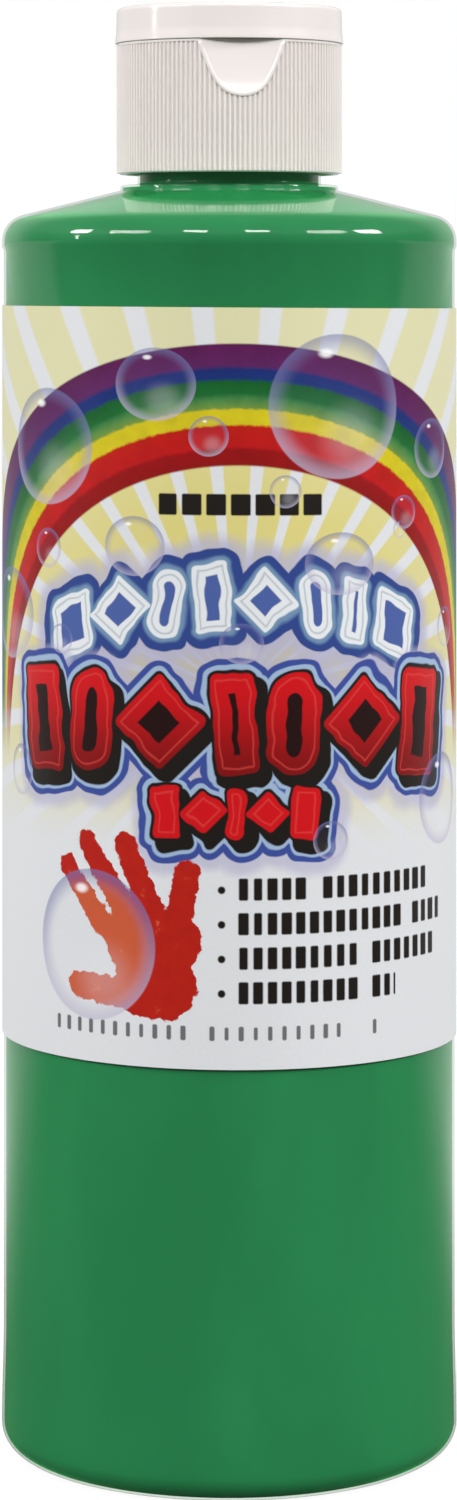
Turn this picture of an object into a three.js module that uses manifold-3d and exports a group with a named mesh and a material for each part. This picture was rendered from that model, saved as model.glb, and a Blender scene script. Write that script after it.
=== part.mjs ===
// A 16 fl oz squeeze bottle of washable paint: bottle, paint, wrap-round label and screw-on flip-top cap.
// Millimetres, +Z up. The origin is the middle of the standing ring, and the label's front faces -Y.
import * as THREE from "three";
import { mergeVertices } from "three/addons/utils/BufferGeometryUtils.js";
import Module from "manifold-3d";

const wasm = await Module();
wasm.setup();

// ---- driving dimensions ----

const SEGMENTS = 60; // facets round every turned piece
const ARC_DIVISIONS = 2; // each rounded corner of a profile gets twice as many facets

// The bottle: a blow-moulded cylinder round with a 28 mm screw neck.
const BODY_R = 31.1;
const WALL = 0.6;
const HEEL_R = 3.5;
const FOOT_INNER_R = 22;
const PUSH_UP = 2.6;
const PANEL_R = 30.85; // the label panel lies a little inside the bands above and below it
const PANEL_BOTTOM = 8;
const PANEL_TOP = 163.3;
const PANEL_EDGE = 0.5; // height of the slope from panel to band
const SHOULDER_START = 164.6;
const SHOULDER_ROUND = 3.6;
const SHOULDER_SLOPE = THREE.MathUtils.degToRad(14.15);
const BEAD_R = 14.9;
const BEAD_ROUND = 0.35;
const BEAD_TOP = 172.2;
const NECK_R = 12.55;
const NECK_BORE_R = 10.8;
const NECK_TOP = 189.2;
const NECK_RIM_ROUND = 0.4;

// The screw thread between neck and cap: right-handed, 6 turns to the inch.
const PITCH = 25.4 / 6;
const THREAD_FADE = THREE.MathUtils.degToRad(25); // each end sinks into its wall over this angle
const THREAD_STEPS = 36; // facets to a turn
const THREAD_BITE = 0.3; // a ridge starts this deep inside its wall
const NECK_THREAD_TOP = NECK_TOP - 2.4;
const NECK_THREAD_TURNS = 1.5;
const NECK_CREST_R = 13.6;
const NECK_RIDGE = { foot: 2.0, crest: 0.9 };
const CAP_THREAD_TURNS = 1.25;
const CAP_THREAD_DROP = 1.7; // the cap's ridge runs this far under the neck's ridge
const CAP_CREST_R = 12.95;
const CAP_RIDGE = { foot: 1.5, crest: 0.7 };

// The paint, and the wet coat that it leaves on the wall above its level.
const PAINT_GAP = 0.1;
const COAT = 0.35;
const COAT_TOP = NECK_TOP - 0.8;

// The wrap-round film label.
const LABEL_BOTTOM = 56.5;
const LABEL_TOP = 155.8;
const LABEL_INNER_R = 30.95;
const LABEL_OUTER_R = 31.1;
const LABEL_GAP = THREE.MathUtils.degToRad(4); // between its two ends, at the back

// The cap. It stops a few degrees past square to the label when it is screwed home.
const CAP_TURN = THREE.MathUtils.degToRad(6.6);
const SKIRT_BOTTOM = 173.7;
const RIB_COUNT = 144;
const RIB_CREST_R = 15.43;
const RIB_VALLEY_R = 15.15;
const RIB_TOP = 191.1;
const SKIRT_BORE_R = 13.85;
const SKIRT_LEAD_IN = 0.5;
const DECK_UNDER = 190.3;
const DECK_TOP = 191.5;
const COLLAR_R = 13.4;
const COLLAR_INNER_R = 12.4;
const COLLAR_TOP = 192.6;
const NOZZLE_FOOT_R = 3.9;
const NOZZLE_TIP_R = 3.1;
const NOZZLE_TOP = 194;
const ORIFICE_R = 1.9;
const LINER_R = 12.4;
const LINER_HOLE_R = 3;
const LINER_BOTTOM = NECK_TOP + 0.1;
const LINER_TOP = DECK_UNDER - 0.1;

// The thumb recess is a slanting flat that cuts into the front of the skirt, under the lid's lip.
const RECESS_TIP = 184.2;
const RECESS_DEPTH = 1.13;

// The lid, and the hinge at the back that joins it to the cap.
const LID_BOTTOM = 191.6;
const LID_TOP = 196.4;
const LID_LIP_R = 15.65;
const LID_R = 15.43;
const LID_ROUND = 0.6;
const LID_WALL = 1.2;
const LID_ROOF = 195.2;
const PLUG_R = 1.55;
const PLUG_BOTTOM = 192.9;
const HINGE_Y = 16.05;
const HINGE_Z = 191.55;
const PAD_HALF = 6.6; // the cap and lid are flattened this far to each side of the hinge
const PAD_Y = 15.95;
const PAD_INNER_Y = 14.5;
const PAD_HEIGHT = 2.4;
const FILM_INNER_X = 2.9;
const FILM_OUTER_X = 6.2;
const FILM_THICK = 0.25;
const FILM_HEIGHT = 2.6;
const STRAP_HALF = 1.9;
const STRAP_REACH = 2.5; // from the hinge line to each end of the strap
const STRAP_BOW = 0.95;
const STRAP_THICK = 0.3;

// ---- from three.js geometry to solids and back ----

function toSolid(geometry) {
  const bare = geometry.index ? geometry.toNonIndexed() : geometry.clone();
  bare.deleteAttribute("normal");
  bare.deleteAttribute("uv");
  const merged = mergeVertices(bare, 1e-4);
  const vertProperties = merged.attributes.position.array;
  const triVerts = new Uint32Array(merged.index.array);
  return new wasm.Manifold(new wasm.Mesh({ numProp: 3, vertProperties, triVerts }));
}

function toGeometry(solid) {
  const mesh = solid.getMesh();
  return new THREE.BufferGeometry()
    .setAttribute("position", new THREE.BufferAttribute(mesh.vertProperties, 3))
    .setIndex(new THREE.BufferAttribute(mesh.triVerts, 1));
}

// Turns a profile of (radius, height) points, anticlockwise as seen with +Z up and the axis at the left.
function turned(points) {
  return new THREE.LatheGeometry(points, SEGMENTS).rotateX(Math.PI / 2);
}

// Extrudes an outline of (y, z) points from x0 to x1.
function extrudedAlongX(shape, x0, x1) {
  const along = new THREE.ExtrudeGeometry(shape, { depth: x1 - x0, bevelEnabled: false });
  const axes = new THREE.Matrix4().makeBasis(
    new THREE.Vector3(0, 1, 0),
    new THREE.Vector3(0, 0, 1),
    new THREE.Vector3(1, 0, 0),
  );
  return along.applyMatrix4(axes).translate(x0, 0, 0);
}

function extrudedAlongZ(shape, z0, z1, curveSegments = SEGMENTS / 2) {
  return new THREE.ExtrudeGeometry(shape, { depth: z1 - z0, bevelEnabled: false, curveSegments })
    .translate(0, 0, z0);
}

function outline(corners) {
  return new THREE.Shape(corners.map(([x, y]) => new THREE.Vector2(x, y)));
}

function box(x0, x1, y0, y1, z0, z1) {
  return new THREE.BoxGeometry(x1 - x0, y1 - y0, z1 - z0)
    .translate((x0 + x1) / 2, (y0 + y1) / 2, (z0 + z1) / 2);
}

// A trapezoid ridge wound round +Z as a right-handed helix. It stands on a wall of radius wallR and
// reaches crestR, inwards or outwards, and its ends sink into the wall. An outward ridge runs down
// from height z and angle 0, and an inward one runs up from there.
function threadRidge({ wallR, crestR, z, angle = 0, turns, ridge }) {
  const outward = Math.sign(crestR - wallR);
  const section = outline([
    [0, -ridge.foot / 2],
    [1, -ridge.crest / 2],
    [1, ridge.crest / 2],
    [0, ridge.foot / 2],
  ]);
  const length = turns * 2 * Math.PI;
  const steps = Math.ceil(THREAD_STEPS * turns);
  const geometry = new THREE.ExtrudeGeometry(section, { depth: length, steps, bevelEnabled: false });
  const at = geometry.attributes.position;
  for (let i = 0; i < at.count; i++) {
    const along = at.getZ(i);
    const fade = Math.min(1, along / THREAD_FADE, (length - along) / THREAD_FADE);
    const sunkR = wallR - outward * THREAD_BITE;
    const r = THREE.MathUtils.lerp(sunkR, crestR, at.getX(i) * THREE.MathUtils.lerp(0.3, 1, fade));
    const phi = angle - outward * along;
    const height = z - (outward * PITCH * along) / (2 * Math.PI) + at.getY(i);
    at.setXYZ(i, r * Math.cos(phi), r * Math.sin(phi), height);
  }
  return toSolid(geometry);
}

// ---- the bottle and what it holds ----

// The shoulder's height at radius r, a distance inset inside its outer skin.
function shoulderHeight(r, inset) {
  const round = SHOULDER_ROUND - inset;
  const tangentR = BODY_R - SHOULDER_ROUND + round * Math.sin(SHOULDER_SLOPE);
  const tangentZ = SHOULDER_START + round * Math.cos(SHOULDER_SLOPE);
  return tangentZ + (tangentR - r) * Math.tan(SHOULDER_SLOPE);
}

// The wall's outline a distance inset inside its outer skin: from the middle of the base, over the
// push-up and the standing ring, up the side and along the shoulder to radius r.
function wallOutline(inset, r) {
  const path = new THREE.Path();
  path.moveTo(0, PUSH_UP + inset);
  path.quadraticCurveTo(FOOT_INNER_R * 0.75, PUSH_UP + inset, FOOT_INNER_R, inset);
  path.lineTo(BODY_R - HEEL_R, inset);
  path.absarc(BODY_R - HEEL_R, HEEL_R, HEEL_R - inset, -Math.PI / 2, 0, false);
  path.lineTo(BODY_R - inset, PANEL_BOTTOM - PANEL_EDGE);
  path.lineTo(PANEL_R - inset, PANEL_BOTTOM);
  path.lineTo(PANEL_R - inset, PANEL_TOP);
  path.lineTo(BODY_R - inset, PANEL_TOP + PANEL_EDGE);
  path.lineTo(BODY_R - inset, SHOULDER_START);
  const sweep = Math.PI / 2 - SHOULDER_SLOPE;
  path.absarc(BODY_R - SHOULDER_ROUND, SHOULDER_START, SHOULDER_ROUND - inset, 0, sweep, false);
  path.lineTo(r, shoulderHeight(r, inset));
  return path;
}

function bottle() {
  const path = wallOutline(0, BEAD_R);
  const quarter = Math.PI / 2;
  path.absarc(BEAD_R - BEAD_ROUND, BEAD_TOP - BEAD_ROUND, BEAD_ROUND, 0, quarter, false);
  path.lineTo(NECK_R, BEAD_TOP);
  path.absarc(NECK_R - NECK_RIM_ROUND, NECK_TOP - NECK_RIM_ROUND, NECK_RIM_ROUND, 0, quarter, false);
  path.lineTo(NECK_BORE_R, NECK_TOP);
  const inside = wallOutline(WALL, NECK_BORE_R).getPoints(ARC_DIVISIONS).reverse();
  const shell = toSolid(turned([...path.getPoints(ARC_DIVISIONS), ...inside]));
  const thread = threadRidge({
    wallR: NECK_R,
    crestR: NECK_CREST_R,
    z: NECK_THREAD_TOP,
    turns: NECK_THREAD_TURNS,
    ridge: NECK_RIDGE,
  });
  return toGeometry(shell.add(thread));
}

// One body of liquid: it fills the bottle to the shoulder, and coats the wall from there to the mouth.
function paintFill() {
  const outer = WALL + PAINT_GAP;
  const inner = outer + COAT;
  const neckR = NECK_BORE_R - PAINT_GAP;
  const levelRound = SHOULDER_ROUND - inner;
  const levelR = BODY_R - SHOULDER_ROUND + levelRound * Math.sin(SHOULDER_SLOPE);
  const level = SHOULDER_START + levelRound * Math.cos(SHOULDER_SLOPE);
  const path = wallOutline(outer, neckR);
  path.lineTo(neckR, COAT_TOP);
  path.lineTo(neckR - COAT, COAT_TOP);
  path.lineTo(neckR - COAT, shoulderHeight(neckR - COAT, inner));
  path.lineTo(levelR, level);
  path.lineTo(0, level);
  return turned(path.getPoints(ARC_DIVISIONS));
}

function label() {
  const back = Math.PI / 2;
  const start = back + LABEL_GAP / 2;
  const end = back - LABEL_GAP / 2 + 2 * Math.PI;
  const shape = new THREE.Shape();
  shape.absarc(0, 0, LABEL_OUTER_R, start, end, false);
  shape.absarc(0, 0, LABEL_INNER_R, end, start, true);
  return extrudedAlongZ(shape, LABEL_BOTTOM, LABEL_TOP);
}

// ---- the cap ----

function liner() {
  return turned([
    new THREE.Vector2(LINER_HOLE_R, LINER_BOTTOM),
    new THREE.Vector2(LINER_R, LINER_BOTTOM),
    new THREE.Vector2(LINER_R, LINER_TOP),
    new THREE.Vector2(LINER_HOLE_R, LINER_TOP),
    new THREE.Vector2(LINER_HOLE_R, LINER_BOTTOM),
  ]);
}

function ribbedSkirt() {
  const corners = [];
  for (let i = 0; i < 2 * RIB_COUNT; i++) {
    const r = i % 2 ? RIB_VALLEY_R : RIB_CREST_R;
    const phi = (Math.PI * i) / RIB_COUNT;
    corners.push([r * Math.cos(phi), r * Math.sin(phi)]);
  }
  return toSolid(extrudedAlongZ(outline(corners), SKIRT_BOTTOM, RIB_TOP));
}

// The plain top of the cap: the band over the ribs, the deck, the lid's snap collar and the nozzle.
function deck() {
  const path = new THREE.Path();
  path.moveTo(0, DECK_UNDER - 1);
  path.lineTo(RIB_VALLEY_R - 0.5, DECK_UNDER - 1);
  path.lineTo(RIB_VALLEY_R - 0.5, RIB_TOP);
  path.lineTo(RIB_CREST_R, RIB_TOP);
  path.lineTo(RIB_CREST_R, DECK_TOP);
  path.lineTo(COLLAR_R, DECK_TOP);
  path.lineTo(COLLAR_R, COLLAR_TOP);
  path.lineTo(COLLAR_INNER_R, COLLAR_TOP);
  path.lineTo(COLLAR_INNER_R, DECK_TOP);
  path.lineTo(NOZZLE_FOOT_R, DECK_TOP);
  path.lineTo(NOZZLE_TIP_R, NOZZLE_TOP);
  path.lineTo(0, NOZZLE_TOP);
  return toSolid(turned(path.getPoints()));
}

function boreAndOrifice() {
  const path = new THREE.Path();
  path.moveTo(0, SKIRT_BOTTOM - 1);
  path.lineTo(SKIRT_BORE_R + SKIRT_LEAD_IN, SKIRT_BOTTOM - 1);
  path.lineTo(SKIRT_BORE_R + SKIRT_LEAD_IN, SKIRT_BOTTOM);
  path.lineTo(SKIRT_BORE_R, SKIRT_BOTTOM + SKIRT_LEAD_IN);
  path.lineTo(SKIRT_BORE_R, DECK_UNDER);
  path.lineTo(ORIFICE_R, DECK_UNDER);
  path.lineTo(ORIFICE_R, NOZZLE_TOP + 1);
  path.lineTo(0, NOZZLE_TOP + 1);
  return toSolid(turned(path.getPoints()));
}

// Everything in front of the recess's slanting flat, which is carried on past the deck.
function recessCutter() {
  const lean = RECESS_DEPTH / (LID_BOTTOM - RECESS_TIP);
  const top = DECK_TOP + 1;
  const floorY = -RIB_CREST_R + lean * (top - RECESS_TIP);
  const farY = -RIB_CREST_R - 1;
  const tip = RECESS_TIP - 1 / lean;
  const section = outline([
    [farY, tip],
    [floorY, top],
    [farY, top],
  ]);
  return toSolid(extrudedAlongX(section, -2 * PAD_HALF, 2 * PAD_HALF));
}

// The flat at the back of the cap or lid that carries the hinge, from height z0 to z1.
function hingePad(z0, z1) {
  return toSolid(box(-PAD_HALF, PAD_HALF, PAD_INNER_Y, PAD_Y, z0, z1));
}

function closureBase() {
  // It starts one whole turn below the start of the neck's ridge, so the two run side by side. The
  // minus undoes the turn of the cap's group.
  const thread = threadRidge({
    wallR: SKIRT_BORE_R,
    crestR: CAP_CREST_R,
    z: NECK_THREAD_TOP - PITCH - CAP_THREAD_DROP,
    angle: -CAP_TURN,
    turns: CAP_THREAD_TURNS,
    ridge: CAP_RIDGE,
  });
  return toGeometry(
    ribbedSkirt()
      .add(deck())
      .subtract(recessCutter())
      .add(hingePad(DECK_TOP - PAD_HEIGHT, DECK_TOP - 0.1))
      .subtract(boreAndOrifice())
      .add(thread),
  );
}

function lid() {
  const path = new THREE.Path();
  path.moveTo(0, PLUG_BOTTOM);
  path.lineTo(PLUG_R, PLUG_BOTTOM);
  path.lineTo(PLUG_R, LID_ROOF);
  path.lineTo(LID_R - LID_WALL, LID_ROOF);
  path.lineTo(LID_LIP_R - LID_WALL, LID_BOTTOM);
  path.lineTo(LID_LIP_R, LID_BOTTOM);
  path.absarc(LID_R - LID_ROUND, LID_TOP - LID_ROUND, LID_ROUND, 0, Math.PI / 2, false);
  path.lineTo(0, LID_TOP);
  const shell = toSolid(turned(path.getPoints(ARC_DIVISIONS)));
  return toGeometry(shell.add(hingePad(LID_BOTTOM + 0.1, LID_BOTTOM + PAD_HEIGHT)));
}

// One of the two thin webs that bend as the lid turns, on the outside of the pads.
function hingeFilm(x0, x1) {
  const z0 = HINGE_Z - FILM_HEIGHT / 2;
  return box(x0, x1, HINGE_Y, HINGE_Y + FILM_THICK, z0, z0 + FILM_HEIGHT);
}

// The bowed strap between the webs: it snaps the lid open or shut as it passes the middle.
function hingeStrap() {
  const bowR = (STRAP_REACH ** 2 + STRAP_BOW ** 2) / (2 * STRAP_BOW);
  const centreY = HINGE_Y + STRAP_BOW - bowR;
  const half = Math.asin(STRAP_REACH / bowR);
  const shape = new THREE.Shape();
  shape.absarc(centreY, HINGE_Z, bowR + STRAP_THICK, -half, half, false);
  shape.absarc(centreY, HINGE_Z, bowR, half, -half, true);
  return extrudedAlongX(shape, -STRAP_HALF, STRAP_HALF);
}

// ---- materials and assembly ----

const clearPlastic = new THREE.MeshStandardMaterial({ color: 0xd8ead9, roughness: 0.12, metalness: 0 });
const greenPaint = new THREE.MeshStandardMaterial({ color: 0x2b7848, roughness: 0.35, metalness: 0 });
const labelFilm = new THREE.MeshStandardMaterial({ color: 0xe4e0da, roughness: 0.4, metalness: 0 });
const whitePlastic = new THREE.MeshStandardMaterial({ color: 0xe6e1dd, roughness: 0.35, metalness: 0 });
const foam = new THREE.MeshStandardMaterial({ color: 0xf0eee8, roughness: 0.8, metalness: 0 });

function piece(name, geometry, material) {
  const mesh = new THREE.Mesh(geometry, material);
  mesh.name = name;
  return mesh;
}

const cap = new THREE.Group();
cap.rotation.z = CAP_TURN;
cap.add(
  piece("closure_liner", liner(), foam),
  piece("closure_base", closureBase(), whitePlastic),
  piece("closure_lid", lid(), whitePlastic),
  piece("hinge_film_left", hingeFilm(-FILM_OUTER_X, -FILM_INNER_X), whitePlastic),
  piece("hinge_film_right", hingeFilm(FILM_INNER_X, FILM_OUTER_X), whitePlastic),
  piece("hinge_spring_strap", hingeStrap(), whitePlastic),
);

const object = new THREE.Group();
object.add(
  piece("bottle", bottle(), clearPlastic),
  piece("paint_fill", paintFill(), greenPaint),
  piece("label", label(), labelFilm),
  cap,
);

export default object;
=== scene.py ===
import math

import bpy
import numpy as np
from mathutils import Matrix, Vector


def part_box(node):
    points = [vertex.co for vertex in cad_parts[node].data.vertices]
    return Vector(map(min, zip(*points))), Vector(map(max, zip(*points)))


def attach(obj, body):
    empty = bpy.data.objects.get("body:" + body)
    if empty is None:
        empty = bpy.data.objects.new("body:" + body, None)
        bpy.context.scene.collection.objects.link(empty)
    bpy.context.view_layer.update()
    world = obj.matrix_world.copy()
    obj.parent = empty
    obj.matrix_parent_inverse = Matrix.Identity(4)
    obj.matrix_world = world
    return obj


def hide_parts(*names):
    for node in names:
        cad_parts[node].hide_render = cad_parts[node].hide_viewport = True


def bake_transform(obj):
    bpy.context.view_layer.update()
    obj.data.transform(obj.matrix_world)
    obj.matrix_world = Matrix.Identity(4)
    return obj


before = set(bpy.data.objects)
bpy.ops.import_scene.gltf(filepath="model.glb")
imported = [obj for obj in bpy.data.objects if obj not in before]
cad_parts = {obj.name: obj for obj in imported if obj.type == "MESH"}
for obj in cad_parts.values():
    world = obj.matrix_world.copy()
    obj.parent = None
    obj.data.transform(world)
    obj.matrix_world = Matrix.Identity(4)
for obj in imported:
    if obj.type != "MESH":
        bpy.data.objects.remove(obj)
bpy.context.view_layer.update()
MM = 0.001

# ---------------------------------------------------------------------------------------------------
# The bottle: clear plastic, blow moulded in one piece with its screw neck, with a label panel sunk a
# quarter of a millimetre. The CAD's wall is 0.6 mm thick, but paint that wets clear plastic is seen
# at its outer skin, so the inner face is drawn SKIN below that and the paint just under it.
# ---------------------------------------------------------------------------------------------------


def linear(hex_code):
    """An sRGB hex colour as the linear colour that a shader takes."""
    channels = [int(hex_code[i : i + 2], 16) / 255 for i in (1, 3, 5)]
    return [c / 12.92 if c <= 0.04045 else ((c + 0.055) / 1.055) ** 2.4 for c in channels] + [1.0]


def add(tree, kind, *inputs, named=None, **settings):
    """Adds a node with its settings. Inputs fill its open sockets in order, and named fills them by name:
    a node or socket is linked, a value is set, and None is passed over."""
    made = tree.nodes.new(kind)
    for key, value in settings.items():
        setattr(made, key, value)
    pairs = list(zip([s for s in made.inputs if s.enabled], inputs))
    pairs += [(made.inputs[key], value) for key, value in (named or {}).items()]
    for socket, value in pairs:
        if isinstance(value, bpy.types.Node):
            value = next(s for s in value.outputs if s.enabled)
        if isinstance(value, bpy.types.NodeSocket):
            tree.links.new(value, socket)
        elif value is not None:
            socket.default_value = value
    return made


def new_material(name):
    """An empty node material, and its tree."""
    made = bpy.data.materials.new(name)
    made.use_nodes = True
    made.node_tree.nodes.clear()
    return made, made.node_tree


def arc(centre_r, centre_z, radius, start, end, steps):
    """Points of (radius, height) along an arc in a profile, with its angles in radians."""
    turns = [start + (end - start) * i / steps for i in range(steps + 1)]
    return [(centre_r + radius * math.cos(a), centre_z + radius * math.sin(a)) for a in turns]


def straight(start, end, steps):
    """Evenly spaced points from start to end."""
    return [tuple(np.array(start) + (np.array(end) - np.array(start)) * i / steps) for i in range(steps + 1)]


def distinct(profile):
    """A profile without the points that repeat the one before."""
    return [p for i, p in enumerate(profile) if i == 0 or math.dist(p, profile[i - 1]) > 1e-7]


def placed(name, data):
    """A new object in the scene."""
    made = bpy.data.objects.new(name, data)
    bpy.context.scene.collection.objects.link(made)
    return made


def smoothed(name, mesh):
    """A new object in the scene, shaded smooth except at its sharp edges."""
    mesh.shade_smooth()
    mesh.set_sharp_from_angle(angle=math.radians(40))
    return placed(name, mesh)


def sheet_faces(rows, columns):
    """The faces of a closed sheet, from a grid of points on its front and then the same on its back."""
    row, side = columns + 1, (rows + 1) * (columns + 1)
    faces = []
    for i in range(rows):
        for j in range(columns):
            a = i * row + j
            faces.append((a, a + 1, a + row + 1, a + row))
            faces.append((side + a, side + a + row, side + a + row + 1, side + a + 1))
    for j in range(columns):
        top = rows * row + j
        faces.append((j + 1, j, side + j, side + j + 1))
        faces.append((top, top + 1, side + top + 1, side + top))
    for i in range(rows):
        low, high = i * row, (i + 1) * row
        faces.append((low, high, side + high, side + low))
        low, high = low + columns, high + columns
        faces.append((high, low, side + low, side + high))
    return faces


ROUND_STEPS = 192
ROUND_ANGLES = np.linspace(0, 2 * math.pi, ROUND_STEPS, endpoint=False)


def turned(name, profile, angles=ROUND_ANGLES, reshape=None, loop=False):
    """A piece turned about +Z from (radius, height) points, anticlockwise with the axis at the left. The
    profile runs from axis to axis, or is a loop. reshape(r, z, angle) may then move each ring in or out."""
    vertices, rings = [], []
    for r, z in distinct(profile):
        if r < 1e-9:
            rings.append([len(vertices)] * len(angles))
            vertices.append((0.0, 0.0, z))
            continue
        radii = np.full(len(angles), r) if reshape is None else reshape(np.full(len(angles), r), z, angles)
        rings.append(list(range(len(vertices), len(vertices) + len(angles))))
        vertices += list(zip(radii * np.cos(angles), radii * np.sin(angles), [z] * len(angles)))
    faces = []
    pairs = list(zip(rings, rings[1:])) + ([(rings[-1], rings[0])] if loop else [])
    for low, high in pairs:
        for j in range(len(angles)):
            k = (j + 1) % len(angles)
            face = [low[j], low[k], high[k], high[j]]
            faces.append([v for i, v in enumerate(face) if v != face[i - 1]])
    mesh = bpy.data.meshes.new(name)
    mesh.from_pydata([tuple(map(float, v)) for v in vertices], [], faces)
    mesh.validate()
    return smoothed(name, mesh)


BODY_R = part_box("bottle")[1].x
NECK_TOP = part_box("bottle")[1].z
SKIN = 0.25 * MM
HEEL_R = 3.5 * MM
FOOT_INNER_R = 22 * MM
PUSH_UP = 2.6 * MM
PANEL_SINK = 0.25 * MM
PANEL_R = BODY_R - PANEL_SINK
PANEL_RUN = 14 * MM
PANEL_TOP = 163.3 * MM
PANEL_EDGE = 0.5 * MM
SHOULDER_START = 164.6 * MM
SHOULDER_ROUND = 3.6 * MM
SHOULDER_SLOPE = math.radians(14.15)
BEAD_R = 14.9 * MM
BEAD_TOP = 172.2 * MM
BEAD_ROUND = 0.35 * MM
NECK_R = 12.55 * MM
NECK_BORE_R = 10.8 * MM
PITCH = 25.4 * MM / 6
NECK_THREAD_TOP = NECK_TOP - 2.4 * MM
THREAD_REACH = 1.05 * MM
THREAD_FADE = math.radians(25)


def shoulder_height(r, inset):
    """Height of the sloping shoulder at radius r, a distance inset inside the outer skin."""
    round_r = SHOULDER_ROUND - inset
    tangent_r = BODY_R - SHOULDER_ROUND + round_r * math.sin(SHOULDER_SLOPE)
    tangent_z = SHOULDER_START + round_r * math.cos(SHOULDER_SLOPE)
    return tangent_z + (tangent_r - r) * math.tan(SHOULDER_SLOPE)


def wall_outline(inset, r):
    """The bottle's outline a distance inset inside its skin, from the middle of the base to radius r."""
    share = [i / 12 for i in range(13)]
    control = FOOT_INNER_R * 0.75
    dome = [(2 * t * (1 - t) * control + t * t * FOOT_INNER_R, (1 - t * t) * PUSH_UP + inset) for t in share]
    panel = PANEL_R - inset
    heel = arc(BODY_R - HEEL_R, HEEL_R, HEEL_R - inset, -math.pi / 2, 0, 12)
    ease = [(3 * t * t - 2 * t * t * t, t) for t in (i / 10 for i in range(1, 11))]
    side = [(BODY_R - inset - sunk * PANEL_SINK, HEEL_R + t * PANEL_RUN) for sunk, t in ease]
    side += straight((panel, HEEL_R + PANEL_RUN), (panel, PANEL_TOP), 12)
    side += [(BODY_R - inset, PANEL_TOP + PANEL_EDGE)]
    sweep = math.pi / 2 - SHOULDER_SLOPE
    turn = arc(BODY_R - SHOULDER_ROUND, SHOULDER_START, SHOULDER_ROUND - inset, 0, sweep, 14)
    slope = straight(turn[-1], (r, shoulder_height(r, inset)), 10)
    return dome + heel + side + turn + slope


def thread_height(z, angles, top, turns, foot, crest):
    """Height of a right-handed ridge over its wall, as a share of its full height, at height z."""
    most = np.zeros(len(angles))
    for k in range(math.ceil(turns) + 1):
        along = 2 * math.pi * (k + 1) - angles % (2 * math.pi)
        off = np.abs(z - (top - PITCH * along / (2 * math.pi)))
        ridge = np.clip((foot / 2 - off) / (foot / 2 - crest / 2), 0, 1)
        fade = np.clip(np.minimum(along, 2 * math.pi * turns - along) / THREAD_FADE, 0, 1)
        most = np.maximum(most, ridge * fade)
    return most * most * (3 - 2 * most)


def neck_thread(r, z, angles):
    """Raises the thread on the outside of the neck."""
    if abs(r[0] - NECK_R) > 1e-6:
        return r
    share = thread_height(z, angles, NECK_THREAD_TOP, 1.5, 2.2 * MM, 0.8 * MM)
    return r + THREAD_REACH * share


neck_rows = straight((NECK_R, BEAD_TOP + 0.4 * MM), (NECK_R, NECK_TOP - 0.4 * MM), 84)
outside = wall_outline(0, BEAD_R)
outside += arc(BEAD_R - BEAD_ROUND, BEAD_TOP - BEAD_ROUND, BEAD_ROUND, 0, math.pi / 2, 6)
outside += arc(NECK_R + 0.4 * MM, BEAD_TOP + 0.4 * MM, 0.4 * MM, 1.5 * math.pi, math.pi, 5)
outside += neck_rows
outside += arc(NECK_R - 0.4 * MM, NECK_TOP - 0.4 * MM, 0.4 * MM, 0, math.pi / 2, 6)
NECK_LEDGE = BEAD_TOP + 2.2 * MM


def neck_inside(inset, bore_r):
    """The neck's inner face from the top of the shoulder up to where the bore narrows."""
    foot_r, neck_r = BEAD_R - inset, NECK_R - inset
    points = [(foot_r, BEAD_TOP - inset), (neck_r, BEAD_TOP - inset)]
    return points + [(neck_r, NECK_LEDGE - inset), (bore_r, NECK_LEDGE - inset)]


inside = [(NECK_BORE_R, NECK_TOP), (NECK_BORE_R, NECK_TOP - 0.3 * MM)]
inside += neck_inside(SKIN, NECK_BORE_R)[::-1]
inside += wall_outline(SKIN, BEAD_R - SKIN)[::-1]
bottle = turned("bottle_wall", outside + inside, reshape=neck_thread)

# Clear PET, blown against a polished mould. The outer skin mirrors its surroundings by the angle, and
# more at the silhouette, with a faint waviness from the blowing and a hairline where the mould parts.
PARTING_WIDTH = 0.25 * MM
clear_pet, tree = new_material("clear_PET_blow_moulded")
place = add(tree, "ShaderNodeTexCoord").outputs["Object"]
wave_place = add(tree, "ShaderNodeMapping", place, named={"Scale": (1, 1, 0.35)})
waves = add(tree, "ShaderNodeTexNoise", wave_place, named={"Scale": 1 / (14 * MM), "Detail": 1.0})
apart = add(tree, "ShaderNodeSeparateXYZ", place)
from_parting = add(tree, "ShaderNodeMath", apart.outputs["Y"], operation="ABSOLUTE")
parting = add(
    tree, "ShaderNodeMapRange", from_parting, 0.0, PARTING_WIDTH, 0.05, 0.0, interpolation_type="SMOOTHSTEP"
)
relief = add(tree, "ShaderNodeMath", waves, parting, operation="ADD")
skin = add(tree, "ShaderNodeBump", named={"Strength": 0.12, "Distance": 0.4 * MM, "Height": relief})
clear = add(tree, "ShaderNodeBsdfTransparent", linear("#F3FAF4"))
gloss = add(tree, "ShaderNodeBsdfGlossy", named={"Color": linear("#FFFFFF"), "Roughness": 0.06, "Normal": skin})
share = add(tree, "ShaderNodeFresnel", named={"IOR": 1.42, "Normal": skin})
from_inside = add(tree, "ShaderNodeNewGeometry").outputs["Backfacing"]
share = add(tree, "ShaderNodeMix", from_inside, share, 0.0, data_type="FLOAT")
add(tree, "ShaderNodeOutputMaterial", add(tree, "ShaderNodeMixShader", share, clear, gloss))

# The inside of the wall is wetted by the paint, so it mirrors nothing and only tints what is behind.
wetted_pet, tree = new_material("clear_PET_wetted_inside")
place = add(tree, "ShaderNodeTexCoord").outputs["Object"]
cast = add(tree, "ShaderNodeTexNoise", place, named={"Scale": 1 / (20 * MM)})
tint = add(tree, "ShaderNodeMix", cast, linear("#F6FBF6"), linear("#EEF7EF"), data_type="RGBA")
add(tree, "ShaderNodeOutputMaterial", add(tree, "ShaderNodeBsdfTransparent", tint))

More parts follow.
